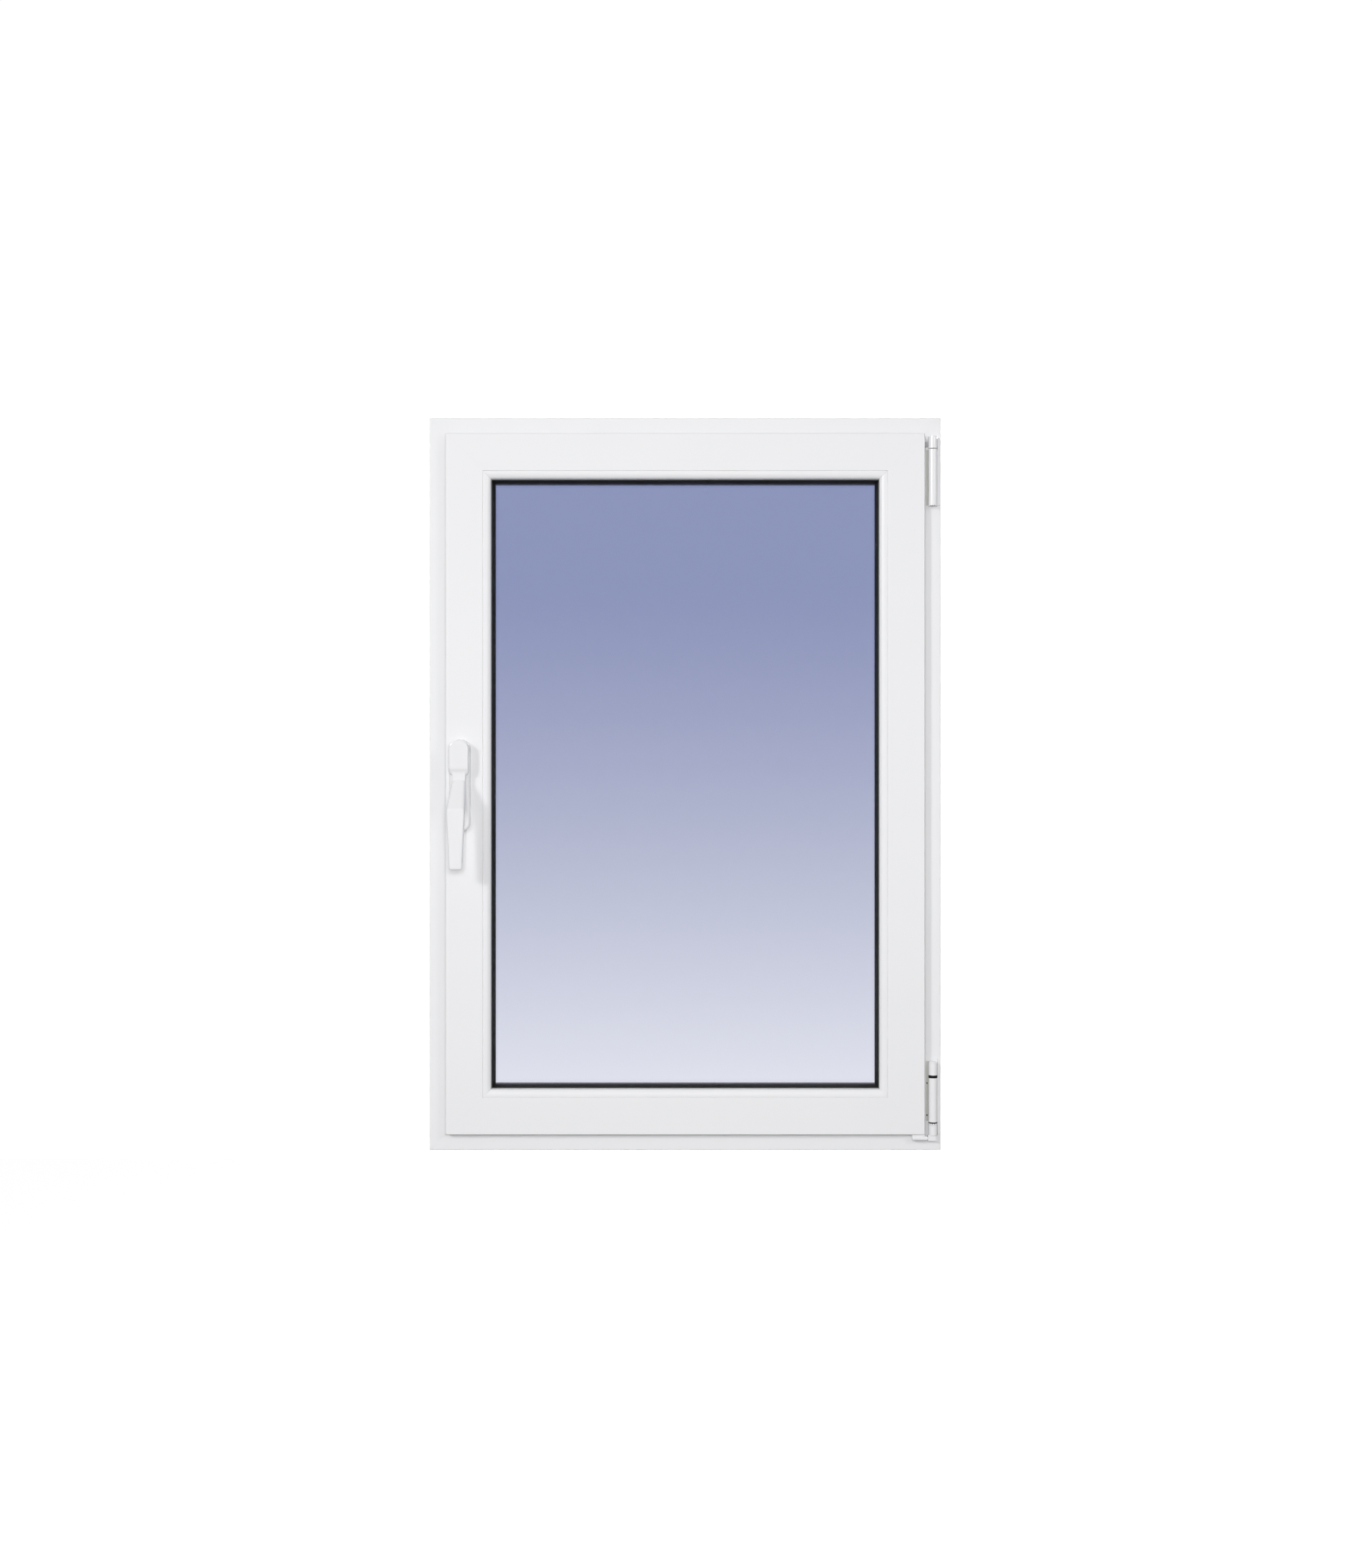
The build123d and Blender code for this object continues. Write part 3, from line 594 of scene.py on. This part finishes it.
class Finishes:
    """Every finish of the window, made once."""

    def __init__(self) -> None:
        """Build the groups and the materials."""
        effects = Effects()
        white = (0.86, 0.86, 0.875)
        self.frame_coat = CoatFinish("frame_coat", white, 0.36, 900.0, 0.00012).make(effects)
        self.sash_coat = CoatFinish("sash_coat", white, 0.34, 900.0, 0.00012).make(effects)
        self.bead_coat = CoatFinish("bead_coat", white, 0.3, 1100.0, 0.0001).make(effects)
        self.hinge_coat = CoatFinish("hinge_coat", white, 0.2, 1400.0, 0.00004, coat=0.5).make(effects)
        handle = CoatFinish("handle_coat", white, 0.17, 1600.0, 0.00003, coat=0.6)
        self.handle_coat = handle.make(effects)
        cover = CoatFinish("cover_plastic", (0.82, 0.82, 0.81), 0.42, 2000.0, 0.0001)
        self.cover_plastic = cover.make(effects)
        # The hinge shims' grey-olive is painted shade: it darkens the narrow gap between sash and hinge
        # barrels.
        gap_shade_shim = CoatFinish("shim_painted_shade", (0.6, 0.6, 0.55), 0.5, 2000.0, 0.0001)
        self.shim_painted_shade = gap_shade_shim.make(effects)
        sealant = CoatFinish("mitre_sealant", (0.84, 0.84, 0.85), 0.5, 1500.0, 0.00002)
        self.sealant = sealant.make(effects)
        zinc = MetalFinish("zinc_plate", (0.7, 0.7, 0.71), 0.34, (30.0, 900.0, 900.0), 0.6)
        self.zinc = zinc.make(effects)
        pin = MetalFinish("pin_steel", (0.55, 0.55, 0.56), 0.22, (900.0, 900.0, 60.0))
        self.pin_steel = pin.make(effects)
        spacer = MetalFinish("spacer_metal", (0.1, 0.1, 0.11), 0.4, (600.0, 600.0, 600.0))
        self.spacer_metal = spacer.make(effects)
        self.rubber = SealFinish("seal_rubber", (0.005, 0.005, 0.0055), 0.6).make(effects)
        self.black_plastic = SealFinish("black_plastic", (0.006, 0.006, 0.0065), 0.45).make(effects)
        clear = (0.96, 0.97, 0.98)
        self.clear_glass = GlassFinish("clear_pane", clear, clear, 0.08, 0.92).make(effects)
        # The outer pane's gradient from pale at the bottom to blue at the top is painted sky light, not
        # a tint of the glass.
        painted_sky_low = (0.768, 0.774, 0.863)
        painted_sky_high = (0.231, 0.267, 0.476)
        sky_pane = GlassFinish("sky_painted_pane", painted_sky_low, painted_sky_high, 0.087, 0.781, 1.4)
        self.sky_painted_glass = sky_pane.make(effects)


@dataclass
class WindowNodes:
    """The solids of the window, dressed by what they are made of."""

    coat_frame: tuple[str, ...] = ("frame_sill", "frame_head", "frame_left_jamb", "frame_right_jamb")
    coat_sash: tuple[str, ...] = (
        "sash_bottom_rail",
        "sash_top_rail",
        "sash_lock_stile",
        "sash_hinge_stile",
    )
    coat_bead: tuple[str, ...] = ("bottom_bead", "top_bead", "left_bead", "right_bead")
    coat_hinge: tuple[str, ...] = (
        "upper_hinge_barrel",
        "lower_hinge_barrel",
        "lower_hinge_cap",
        "corner_pivot",
        "tilt_eye",
        "stay_eye_cover",
    )
    coat_handle: tuple[str, ...] = ("handle_base", "handle_lever")
    plated: tuple[str, ...] = ("stay_arm", "stay_guide", "lock_rod", "lock_keeps")
    pins: tuple[str, ...] = ("upper_hinge_pin", "lower_hinge_pin")
    seals: tuple[str, ...] = (
        "frame_gasket",
        "flap_gasket",
        "inner_glazing_gasket",
        "outer_glazing_gasket",
        "edge_seal",
    )
    washers: tuple[str, ...] = ("lower_hinge_washers", "upper_hinge_ring")
    covers: tuple[str, ...] = ("drain_covers",)

    def dress(self, finishes: Finishes) -> None:
        """Give every solid its finish.

        Args:
            finishes: The window's finishes.
        """
        plan = (
            (self.coat_frame, finishes.frame_coat),
            (self.coat_sash, finishes.sash_coat),
            (self.coat_bead, finishes.bead_coat),
            (self.coat_hinge, finishes.hinge_coat),
            (self.coat_handle, finishes.handle_coat),
            (self.plated, finishes.zinc),
            (self.pins, finishes.pin_steel),
            (self.seals, finishes.rubber),
            (self.washers, finishes.black_plastic),
            (self.covers, finishes.cover_plastic),
            # The shims carry the painted gap shade.
            (("hinge_shims",), finishes.shim_painted_shade),
            (("spacer_bar",), finishes.spacer_metal),
            (("inner_pane",), finishes.clear_glass),
            # The outer pane carries the painted sky light.
            (("outer_pane",), finishes.sky_painted_glass),
        )
        for names, material in plan:
            for name in names:
                Bench.dress(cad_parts[name], material)
                LOG.info("%s takes %s", name, material.name)


class Recess(Enum):
    """Shape of the driver's recess in a screw's head."""

    CROSS = "cross"
    SLOT = "slot"


@dataclass
class Screw:
    """Low domed screw head, modelled at the origin with its seat at height 0."""

    radius: float
    rise: float
    root: float
    recess: Recess = Recess.CROSS
    step_share: float = 0.3
    rise_shares: tuple[float, float, float] = (0.5, 0.38, 0.12)
    arm_share: float = 0.62
    slot_share: float = 0.13
    floor_share: float = 0.6
    edge_share: float = 0.03

    def pattern(self) -> bpy.types.Object:
        """Model one head.

        Returns:
            The head with its recess, pointing up.
        """
        wall, shoulder, dome = (self.rise * share for share in self.rise_shares)
        step = self.radius * self.step_share
        head = Bench.cylinder("screw_pattern", self.radius, -self.root, wall)
        Bench.edit_faces(head, lambda centre, normal: normal.z > 0.9)
        bpy.ops.mesh.inset(thickness=step, depth=shoulder)
        bpy.ops.mesh.inset(thickness=step, depth=dome)
        bpy.ops.object.mode_set(mode="OBJECT")
        arm = self.radius * self.arm_share
        half = self.radius * self.slot_share
        floor = -self.root * self.floor_share
        top = self.rise * 2
        Bench.cut(head, Bench.cube("recess_a", (-arm, -half, floor), (arm, half, top)))
        if self.recess is Recess.CROSS:
            Bench.cut(head, Bench.cube("recess_b", (-half, -arm, floor), (half, arm, top)))
        Bench.soften(head, self.radius * self.edge_share, 1, 40.0)
        return head


@dataclass
class Fitting:
    """A set of equal fasteners on one body."""

    name: str
    body: str
    slot: str
    screw: Screw
    places: Sequence[Sequence[float]]
    side: Side

    def build(self, material: bpy.types.Material) -> bpy.types.Object:
        """Model, place and dress the set.

        Args:
            material: Its finish.

        Returns:
            The joined set, riding on its body.
        """
        turns = [self.side.value] * len(self.places)
        piece = Bench.copies(self.screw.pattern(), self.name, self.places, turns)
        Bench.dress(piece, material)
        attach(piece, self.body)
        LOG.info("%s: %d heads on %s", self.name, len(self.places), self.body)
        return piece


@dataclass
class DrainHoods:
    """Hooded drain covers outdoors, open along the bottom, in place of the plain blocks."""

    wide: float = 0.03
    high: float = 0.009
    deep: float = 0.004
    flange: float = 0.0011
    rim: float = 0.0016
    wall: float = 0.0007
    face_y: float = 0.0225
    middle_z: float = 0.0155
    spacing: float = 0.4
    taper: tuple[float, float, float] = (0.93, 1.0, 0.72)
    reach: float = 0.0004
    hollow: float = 0.00324
    edge: float = 0.00045

    def build(self, material: bpy.types.Material) -> bpy.types.Object:
        """Model one hood and copy it.

        Args:
            material: Its finish.

        Returns:
            Both hoods as one piece.
        """
        half_x = self.wide / 2
        half_z = self.high / 2
        hood = Bench.cube("hood_pattern", (-half_x, 0.0, -half_z), (half_x, self.flange, half_z))
        Bench.edit_faces(hood, lambda centre, normal: normal.y > 0.9)
        bpy.ops.mesh.inset(thickness=self.rim, depth=0.0)
        Bench.extrude((0.0, self.deep - self.flange, 0.0))
        middle = (0.0, self.deep, -half_z + self.rim)
        bpy.ops.transform.resize(value=self.taper, center_override=middle)
        mouth_z = -half_z + self.rim

        def at_mouth(centre: Vector, normal: Vector) -> bool:
            """True for the hood's underside."""
            under = normal.z < -0.8 and centre.y > self.flange
            return under and abs(centre.z - mouth_z) < self.reach

        Bench.edit_faces(hood, at_mouth)
        bpy.ops.mesh.inset(thickness=self.wall, depth=0.0)
        Bench.extrude((0.0, 0.0, self.hollow))
        bpy.ops.object.mode_set(mode="OBJECT")
        Bench.soften(hood, self.edge, 3, 25.0)
        side = self.spacing / 2
        places = [(x, self.face_y, self.middle_z) for x in (-side, side)]
        pair = Bench.copies(hood, "drain_hoods", places, [Side.UP.value] * len(places))
        Bench.dress(pair, material)
        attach(pair, "frame")
        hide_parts("drain_covers")
        LOG.info("drain_hoods: two hoods on the frame")
        return pair


@dataclass
class RodGuides:
    """Pressed steel guides that hold the lock rod in its groove."""

    edge_x: float = -0.307
    middle_y: float = -0.01
    length: float = 0.03
    half_width: float = 0.008
    thickness: float = 0.0012
    heights: tuple[float, ...] = (0.3515, 0.6515)
    foot_share: float = 0.6
    rim: float = 0.0014
    taper: tuple[float, float, float] = (0.9, 0.95, 1.0)
    edge: float = 0.0002

    def build(self, material: bpy.types.Material) -> bpy.types.Object:
        """Model one guide and copy it.

        Args:
            material: Its finish.

        Returns:
            All guides as one piece.
        """
        half = self.length / 2
        low = (-self.half_width, -half, 0.0)
        foot = self.thickness * self.foot_share
        high = (self.half_width, half, foot)
        plate = Bench.cube("guide_pattern", low, high)
        Bench.edit_faces(plate, lambda centre, normal: normal.z > 0.9)
        bpy.ops.mesh.inset(thickness=self.rim, depth=0.0)
        Bench.extrude((0.0, 0.0, self.thickness - foot))
        bpy.ops.transform.resize(value=self.taper, center_override=(0.0, 0.0, 0.0))
        bpy.ops.object.mode_set(mode="OBJECT")
        Bench.soften(plate, self.edge, 2, 20.0)
        places = [(self.edge_x, self.middle_y, z) for z in self.heights]
        plates = self._turned(plate, places)
        Bench.dress(plates, material)
        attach(plates, "sash")
        LOG.info("rod_guides: %d plates on the sash", len(places))
        return plates

    @staticmethod
    def _turned(plate: bpy.types.Object, places: Sequence[Sequence[float]]) -> bpy.types.Object:
        """Stand the plate on end with its length upright, then copy it facing left."""
        plate.rotation_euler = (0.0, 0.0, math.pi / 2)
        Bench.settle(plate)
        return Bench.copies(plate, "rod_guides", places, [Side.LEFT.value] * len(places))


@dataclass
class HingeWashers:
    """Black washers of the lower hinge and the upper hinge's end ring, with notched white collars."""

    axis: tuple[float, float] = (0.3385, -0.03)
    radius: float = 0.006
    bore: float = 0.003
    low_z: float = 0.036
    high_z: float = 0.1
    thickness: float = 0.004
    seat: float = 0.0022
    wall: float = 0.0011
    slip: float = 0.00005
    notches: int = 12
    notch_width: float = 0.001
    notch_depth: float = 0.0012
    end_notch: float = 0.0008
    edge: float = 0.0002
    corners: int = 48

    def build(self, finishes: Finishes) -> None:
        """Model, dress and seat the rings and the collars.

        Args:
            finishes: The window's finishes.
        """
        rings = [self._washer("high_washer", self.high_z), self._stepped()]
        washers = Bench.join(rings, "washer_rings")
        self._finish(washers, finishes.black_plastic)
        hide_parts("lower_hinge_washers")
        seat_top = self.low_z + self.seat
        collar = self._collar("washer_collar", self.low_z, seat_top)
        collar = self._notched(collar, seat_top, self.notch_depth)
        self._finish(collar, finishes.hinge_coat)
        low, high = (corner.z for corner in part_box("upper_hinge_ring"))
        inner = self.radius - self.wall - self.slip
        core = Bench.cylinder("end_ring_core", inner, low + self.end_notch, high, self.corners)
        self._finish(self._bored(core, low, high), finishes.black_plastic)
        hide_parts("upper_hinge_ring")
        ring = self._notched(self._collar("end_ring_collar", low, high), low, self.end_notch)
        self._finish(ring, finishes.hinge_coat)

    def _washer(self, name: str, low: float) -> bpy.types.Object:
        """Plain washer with softened rims and a bore."""
        high = low + self.thickness
        return self._bored(Bench.cylinder(name, self.radius, low, high, self.corners), low, high)

    def _stepped(self) -> bpy.types.Object:
        """Washer whose lower half is drawn in to sit inside the collar."""
        top = self.low_z + self.thickness
        seat_top = self.low_z + self.seat
        ring = Bench.cylinder("low_washer", self.radius, seat_top, top, self.corners)
        Bench.edit_faces(ring, lambda centre, normal: normal.z < -0.9)
        bpy.ops.mesh.inset(thickness=self.wall + self.slip, depth=0.0)
        Bench.extrude((0.0, 0.0, -self.seat))
        bpy.ops.object.mode_set(mode="OBJECT")
        return self._bored(ring, self.low_z, top)

    def _collar(self, name: str, low: float, high: float) -> bpy.types.Object:
        """Plain white ring round a washer."""
        collar = Bench.cylinder(name, self.radius, low, high, self.corners)
        inner = self.radius - self.wall
        hollow = Bench.cylinder("inside", inner, low - self.seat, high + self.seat, self.corners)
        Bench.cut(collar, hollow)
        return collar

    def _notched(self, collar: bpy.types.Object, rim: float, depth: float) -> bpy.types.Object:
        """Cut notches into one rim of a collar.

        Args:
            collar: The plain ring.
            rim: Height of the rim.
            depth: How far the notches go to both sides of the rim.

        Returns:
            The collar with softened edges.
        """
        half = self.notch_width / 2
        reach = self.radius * 2
        for index in range(self.notches // 2):
            cutter = Bench.cube("notch", (-reach, -half, rim - depth), (reach, half, rim + depth))
            cutter.rotation_euler = (0.0, 0.0, math.tau * (index + 0.5) / self.notches)
            Bench.settle(cutter)
            Bench.cut(collar, cutter)
        Bench.soften(collar, self.edge * 0.5, 1, 40.0)
        return collar

    def _bored(self, ring: bpy.types.Object, low: float, high: float) -> bpy.types.Object:
        """Cut the pin's bore and soften the rims."""
        Bench.cut(ring, Bench.cylinder("bore", self.bore, low - self.seat, high + self.seat))
        Bench.soften(ring, self.edge, 2, 40.0)
        return ring

    def _finish(self, piece: bpy.types.Object, material: bpy.types.Material) -> None:
        """Move a piece to the hinge's axis, dress it and let it ride on the frame."""
        piece.location = (*self.axis, 0.0)
        Bench.settle(piece)
        Bench.dress(piece, material)
        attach(piece, "frame")
        LOG.info("%s on the hinges", piece.name)


@dataclass
class LeverForm:
    """The handle's lever, its solid's form with the soft edges of a coated casting."""

    node: str = "handle_lever"
    body: str = "handle"
    slot: str = "handle_white"
    seam: float = 0.000002
    cell: float = 0.0007
    rounds: int = 22
    strength: float = 0.5
    axis: tuple[float, float] = (-0.307, 0.5372)
    hub_back: float = -0.0445
    stub: float = 0.0001
    spindle_end: float = -0.0385
    spindle_root: float = 0.003
    spindle_radius: float = 0.006
    spindle_edge: float = 0.0004

    def build(self, material: bpy.types.Material) -> bpy.types.Object:
        """Copy the solid's form, close its skin and ease its edges.

        Args:
            material: Its finish.

        Returns:
            The lever, in place of the solid.
        """
        lever = bpy.data.objects.new("lever_form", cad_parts[self.node].data.copy())
        bpy.context.scene.collection.objects.link(lever)
        Bench.pick(lever)
        bpy.ops.object.mode_set(mode="EDIT")
        bpy.ops.mesh.select_all(action="SELECT")
        bpy.ops.mesh.remove_doubles(threshold=self.seam)
        bpy.ops.mesh.select_all(action="SELECT")
        back = (0.0, self.hub_back + self.stub, 0.0)
        away = (0.0, 1.0, 0.0)
        bpy.ops.mesh.bisect(plane_co=back, plane_no=away, use_fill=True, clear_outer=True)
        bpy.ops.object.mode_set(mode="OBJECT")
        skin = lever.modifiers.new("skin", "REMESH")
        skin.mode = "VOXEL"
        skin.voxel_size = self.cell
        bpy.ops.object.modifier_apply(modifier=skin.name)
        ease = lever.modifiers.new("ease", "SMOOTH")
        ease.factor = self.strength
        ease.iterations = self.rounds
        bpy.ops.object.modifier_apply(modifier=ease.name)
        bpy.ops.object.shade_smooth()
        lever = Bench.join([lever, self._spindle()], "lever_form")
        Bench.dress(lever, material)
        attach(lever, self.body)
        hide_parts(self.node)
        LOG.info("%s with %d faces", lever.name, len(lever.data.polygons))
        return lever

    def _spindle(self) -> bpy.types.Object:
        """Round spindle from inside the hub into the base."""
        length = self.spindle_end - self.hub_back + self.spindle_root
        spindle = Bench.cylinder("spindle", self.spindle_radius, 0.0, length, 64)
        Bench.soften(spindle, self.spindle_edge)
        spindle.rotation_euler = Side.OUTDOORS.value
        spindle.location = (self.axis[0], self.hub_back - self.spindle_root, self.axis[1])
        Bench.settle(spindle)
        return spindle


@dataclass
class MitreSeals:
    """Sealant, a hair below the surface, in the mitre joints of one ring of bars."""

    name: str
    body: str
    slot: str
    face_y: float
    inner_way: float
    start: float
    end: float
    half_width: float = 0.35
    height: float = 1.003
    thickness: float = 0.00008
    depth: float = 0.002
    sunk: float = 0.00005
    hollow_share: float = 0.2

    def build(self, material: bpy.types.Material) -> bpy.types.Object:
        """Model one strip and lay it into the four corners.

        Args:
            material: Its finish.

        Returns:
            The four strips as one piece.
        """
        length = (self.end - self.start) * math.sqrt(2.0)
        near = self.face_y + self.inner_way * self.sunk
        far = near + self.inner_way * self.depth
        half = self.thickness / 2
        strip = Bench.cube("mitre_strip", (0.0, min(near, far), -half), (length, max(near, far), half))
        Bench.edit_faces(strip, lambda centre, normal: normal.y * self.inner_way < -0.9)
        hollow = self.thickness * self.hollow_share
        bpy.ops.mesh.inset(thickness=hollow, depth=-hollow)
        bpy.ops.object.mode_set(mode="OBJECT")
        places = []
        turns = []
        for side in (-1.0, 1.0):
            for foot, rise in ((0.0, 1.0), (self.height, -1.0)):
                places.append((side * (self.half_width - self.start), 0.0, foot + rise * self.start))
                turns.append((0.0, math.atan2(-rise, -side), 0.0))
        seal = Bench.copies(strip, self.name, places, turns)
        Bench.dress(seal, material)
        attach(seal, self.body)
        LOG.info("%s in four corners of %s", self.name, self.body)
        return seal


def mitre_seals() -> tuple[MitreSeals, ...]:
    """Seals of frame and sash, on the room side and outdoors."""
    room = 1.0
    outdoors = -1.0
    return (
        MitreSeals("frame_mitre_seal", "frame", "frame_white", -0.0225, room, 0.0013, 0.0245),
        MitreSeals("sash_mitre_seal", "sash", "sash_white", -0.0355, room, 0.0248, 0.0732),
        MitreSeals("frame_rear_seal", "frame", "frame_white", 0.0225, outdoors, 0.0003, 0.0508),
        MitreSeals("sash_rear_seal", "sash", "sash_white", 0.0145, outdoors, 0.0525, 0.0835),
    )


@dataclass
class Hardware:
    """Screws and rivets of the hinges, stay and lock."""

    keep_face_x: float = -0.3155
    groove_y: float = -0.01
    keep_heights: tuple[float, ...] = (0.2315, 0.5015, 0.7715)
    keep_screw_step: float = 0.014
    guide_top_z: float = 0.9625
    guide_screw_x: tuple[float, ...] = (-0.047, -0.002, 0.045)
    arm_top_z: float = 0.9675
    arm_rivets: tuple[tuple[float, float], ...] = ((0.08, -0.01), (0.302, -0.012))
    flange_face: tuple[float, float] = (0.3313, -0.0235)
    flange_heights: tuple[float, ...] = (0.0478, 0.0918)
    countersunk: Screw = field(default_factory=lambda: Screw(0.0033, 0.0004, 0.0012))
    guide_screw: Screw = field(default_factory=lambda: Screw(0.003, 0.0006, 0.0008))
    rivet: Screw = field(default_factory=lambda: Screw(0.0034, 0.0009, 0.0008, Recess.SLOT))
    flange_screw: Screw = field(default_factory=lambda: Screw(0.0011, 0.0007, 0.0004, Recess.SLOT))
    rod_guides: RodGuides = field(default_factory=RodGuides)

    def build(self, finishes: Finishes) -> None:
        """Model and dress every set.

        Args:
            finishes: The window's finishes.
        """
        self.rod_guides.build(finishes.zinc)
        keeps = []
        for z in self.keep_heights:
            for shift in (-self.keep_screw_step, self.keep_screw_step):
                keeps.append((self.keep_face_x, self.groove_y, z + shift))
        guides = [(x, self.groove_y, self.guide_top_z) for x in self.guide_screw_x]
        rod_face_x = self.rod_guides.edge_x - self.rod_guides.thickness
        rods = [(rod_face_x, self.groove_y, z) for z in self.rod_guides.heights]
        rivets = [(x, y, self.arm_top_z) for x, y in self.arm_rivets]
        flanges = [(*self.flange_face, z) for z in self.flange_heights]
        for fitting in (
            Fitting("keep_screws", "frame", "steel", self.countersunk, keeps, Side.RIGHT),
            Fitting("stay_guide_screws", "sash", "steel", self.countersunk, guides, Side.UP),
            Fitting("rod_guide_screws", "sash", "steel", self.guide_screw, rods, Side.LEFT),
            Fitting("stay_arm_rivets", "stay_arm", "steel", self.rivet, rivets, Side.UP),
        ):
            fitting.build(finishes.zinc)
        black = Fitting("flange_screws", "frame", "black_plastic", self.flange_screw, flanges, Side.ROOM)
        black.build(finishes.black_plastic)


@dataclass(frozen=True)
class Lamp:
    """One soft light panel."""

    name: str
    place: tuple[float, float, float]
    power: float
    wide: float
    high: float
    shines: bool = True

    def build(self, target: Sequence[float]) -> None:
        """Hang the panel and aim it.

        Args:
            target: The point that it faces.
        """
        data = bpy.data.lights.new(self.name, "AREA")
        data.shape = "RECTANGLE"
        data.size = self.wide
        data.size_y = self.high
        data.energy = self.power
        lamp = bpy.data.objects.new(self.name, data)
        lamp.location = self.place
        aim = Vector(target) - Vector(self.place)
        lamp.rotation_euler = aim.to_track_quat("-Z", "Y").to_euler()
        lamp.visible_camera = False
        lamp.visible_transmission = False
        lamp.visible_glossy = self.shines
        bpy.context.scene.collection.objects.link(lamp)


@dataclass
class Studio:
    """Pale floor, soft lights and the camera."""

    distance: float = 2.5
    room_face: float = -0.0225
    photo_width: float = 1792.0
    window_pixels: float = 667.0
    window_width: float = 0.7
    centre: tuple[float, float] = (0.0011, 0.5015)
    floor_z: float = -0.9
    floor_size: float = 9.0
    floor_back: float = 4.3
    floor_grey: float = 0.25
    floor_glow: float = 0.83
    floor_roughness: float = 0.9
    side_light: float = 0.45
    back_light: float = 0.3
    backdrop: float = 1.02
    lamps: tuple[Lamp, ...] = (
        Lamp("left_softbox", (-3.3, -4.2, 2.2), 84.0, 0.7, 0.7),
        Lamp("right_softbox", (3.4, -3.6, 2.3), 31.0, 0.7, 0.7),
        Lamp("front_softbox", (0.0, -2.6, 0.66), 33.5, 0.6, 0.6, shines=False),
        Lamp("rear_softbox", (3.1, 4.2, 2.2), 64.0, 0.7, 0.7),
        Lamp("rear_fill", (-0.3, 2.9, 0.75), 11.0, 0.6, 0.6, shines=False),
    )

    def build(self) -> None:
        """Set up everything around the window."""
        self._camera()
        self._world()
        self._floor()
        for lamp in self.lamps:
            lamp.build((0.0, 0.0, self.centre[1]))
        bpy.context.scene.view_settings.view_transform = "Standard"

    def _camera(self) -> None:
        """Camera square to the window at its middle."""
        data = bpy.data.cameras.new("photo_camera")
        data.sensor_fit = "HORIZONTAL"
        data.sensor_width = 36.0
        share = self.window_pixels / self.photo_width
        data.lens = data.sensor_width * share * self.distance / self.window_width
        data.clip_end = 50.0
        camera = bpy.data.objects.new("photo_camera", data)
        camera.location = (self.centre[0], self.room_face - self.distance, self.centre[1])
        camera.rotation_euler = (math.pi / 2, 0.0, 0.0)
        bpy.context.scene.collection.objects.link(camera)
        bpy.context.scene.camera = camera

    @staticmethod
    def _seen(nodes: Nodes) -> bpy.types.NodeSocket:
        """Mask of what the eye meets straight on or through glass."""
        ray = nodes.add("ShaderNodeLightPath")
        return nodes.math("MAXIMUM", ray.outputs["Is Camera Ray"], ray.outputs["Is Transmission Ray"])

    def _world(self) -> None:
        """White surroundings, brightest behind the window, that look even."""
        world = bpy.data.worlds.new("studio")
        world.use_nodes = True
        bpy.context.scene.world = world
        nodes = Nodes(world.node_tree)
        back = world.node_tree.nodes["Background"]
        back.inputs["Color"].default_value = (1.0, 1.0, 1.0, 1.0)
        split = nodes.add("ShaderNodeSeparateXYZ")
        nodes.link(nodes.add("ShaderNodeTexCoord").outputs["Generated"], split.inputs[0])
        behind = nodes.math("MULTIPLY", split.outputs["Y"], self.back_light)
        light = nodes.math("ADD", behind, self.side_light)
        blend = nodes.add("ShaderNodeMix", data_type="FLOAT")
        blend.inputs["B"].default_value = self.backdrop
        nodes.link(self._seen(nodes), blend.inputs["Factor"])
        nodes.link(light, blend.inputs["A"])
        nodes.link(blend.outputs["Result"], back.inputs["Strength"])

    def _floor(self) -> None:
        """Wide pale floor below the window that ends before it would show through the glass."""
        Bench.clear()
        middle = self.floor_back - self.floor_size / 2
        bpy.ops.mesh.primitive_plane_add(size=self.floor_size, location=(0.0, middle, self.floor_z))
        floor = bpy.context.active_object
        floor.name = "studio_floor"
        material = bpy.data.materials.new("floor_white")
        material.use_nodes = True
        shader = material.node_tree.nodes["Principled BSDF"]
        grey = self.floor_grey
        shader.inputs["Base Color"].default_value = (grey, grey, grey, 1.0)
        shader.inputs["Roughness"].default_value = self.floor_roughness
        shader.inputs["Emission Color"].default_value = (1.0, 1.0, 1.0, 1.0)
        nodes = Nodes(material.node_tree)
        glow = nodes.math("MULTIPLY", self._seen(nodes), self.floor_glow)
        nodes.link(glow, shader.inputs["Emission Strength"])
        floor.data.materials.append(material)


def main() -> None:
    """Dress the window and set up the studio."""
    logging.basicConfig(level=logging.INFO)
    finishes = Finishes()
    WindowNodes().dress(finishes)
    DrainHoods().build(finishes.cover_plastic)
    Hardware().build(finishes)
    HingeWashers().build(finishes)
    LeverForm().build(finishes.handle_coat)
    for seal in mitre_seals():
        seal.build(finishes.sealant)
    Studio().build()


if __name__ == "__main__":
    main()
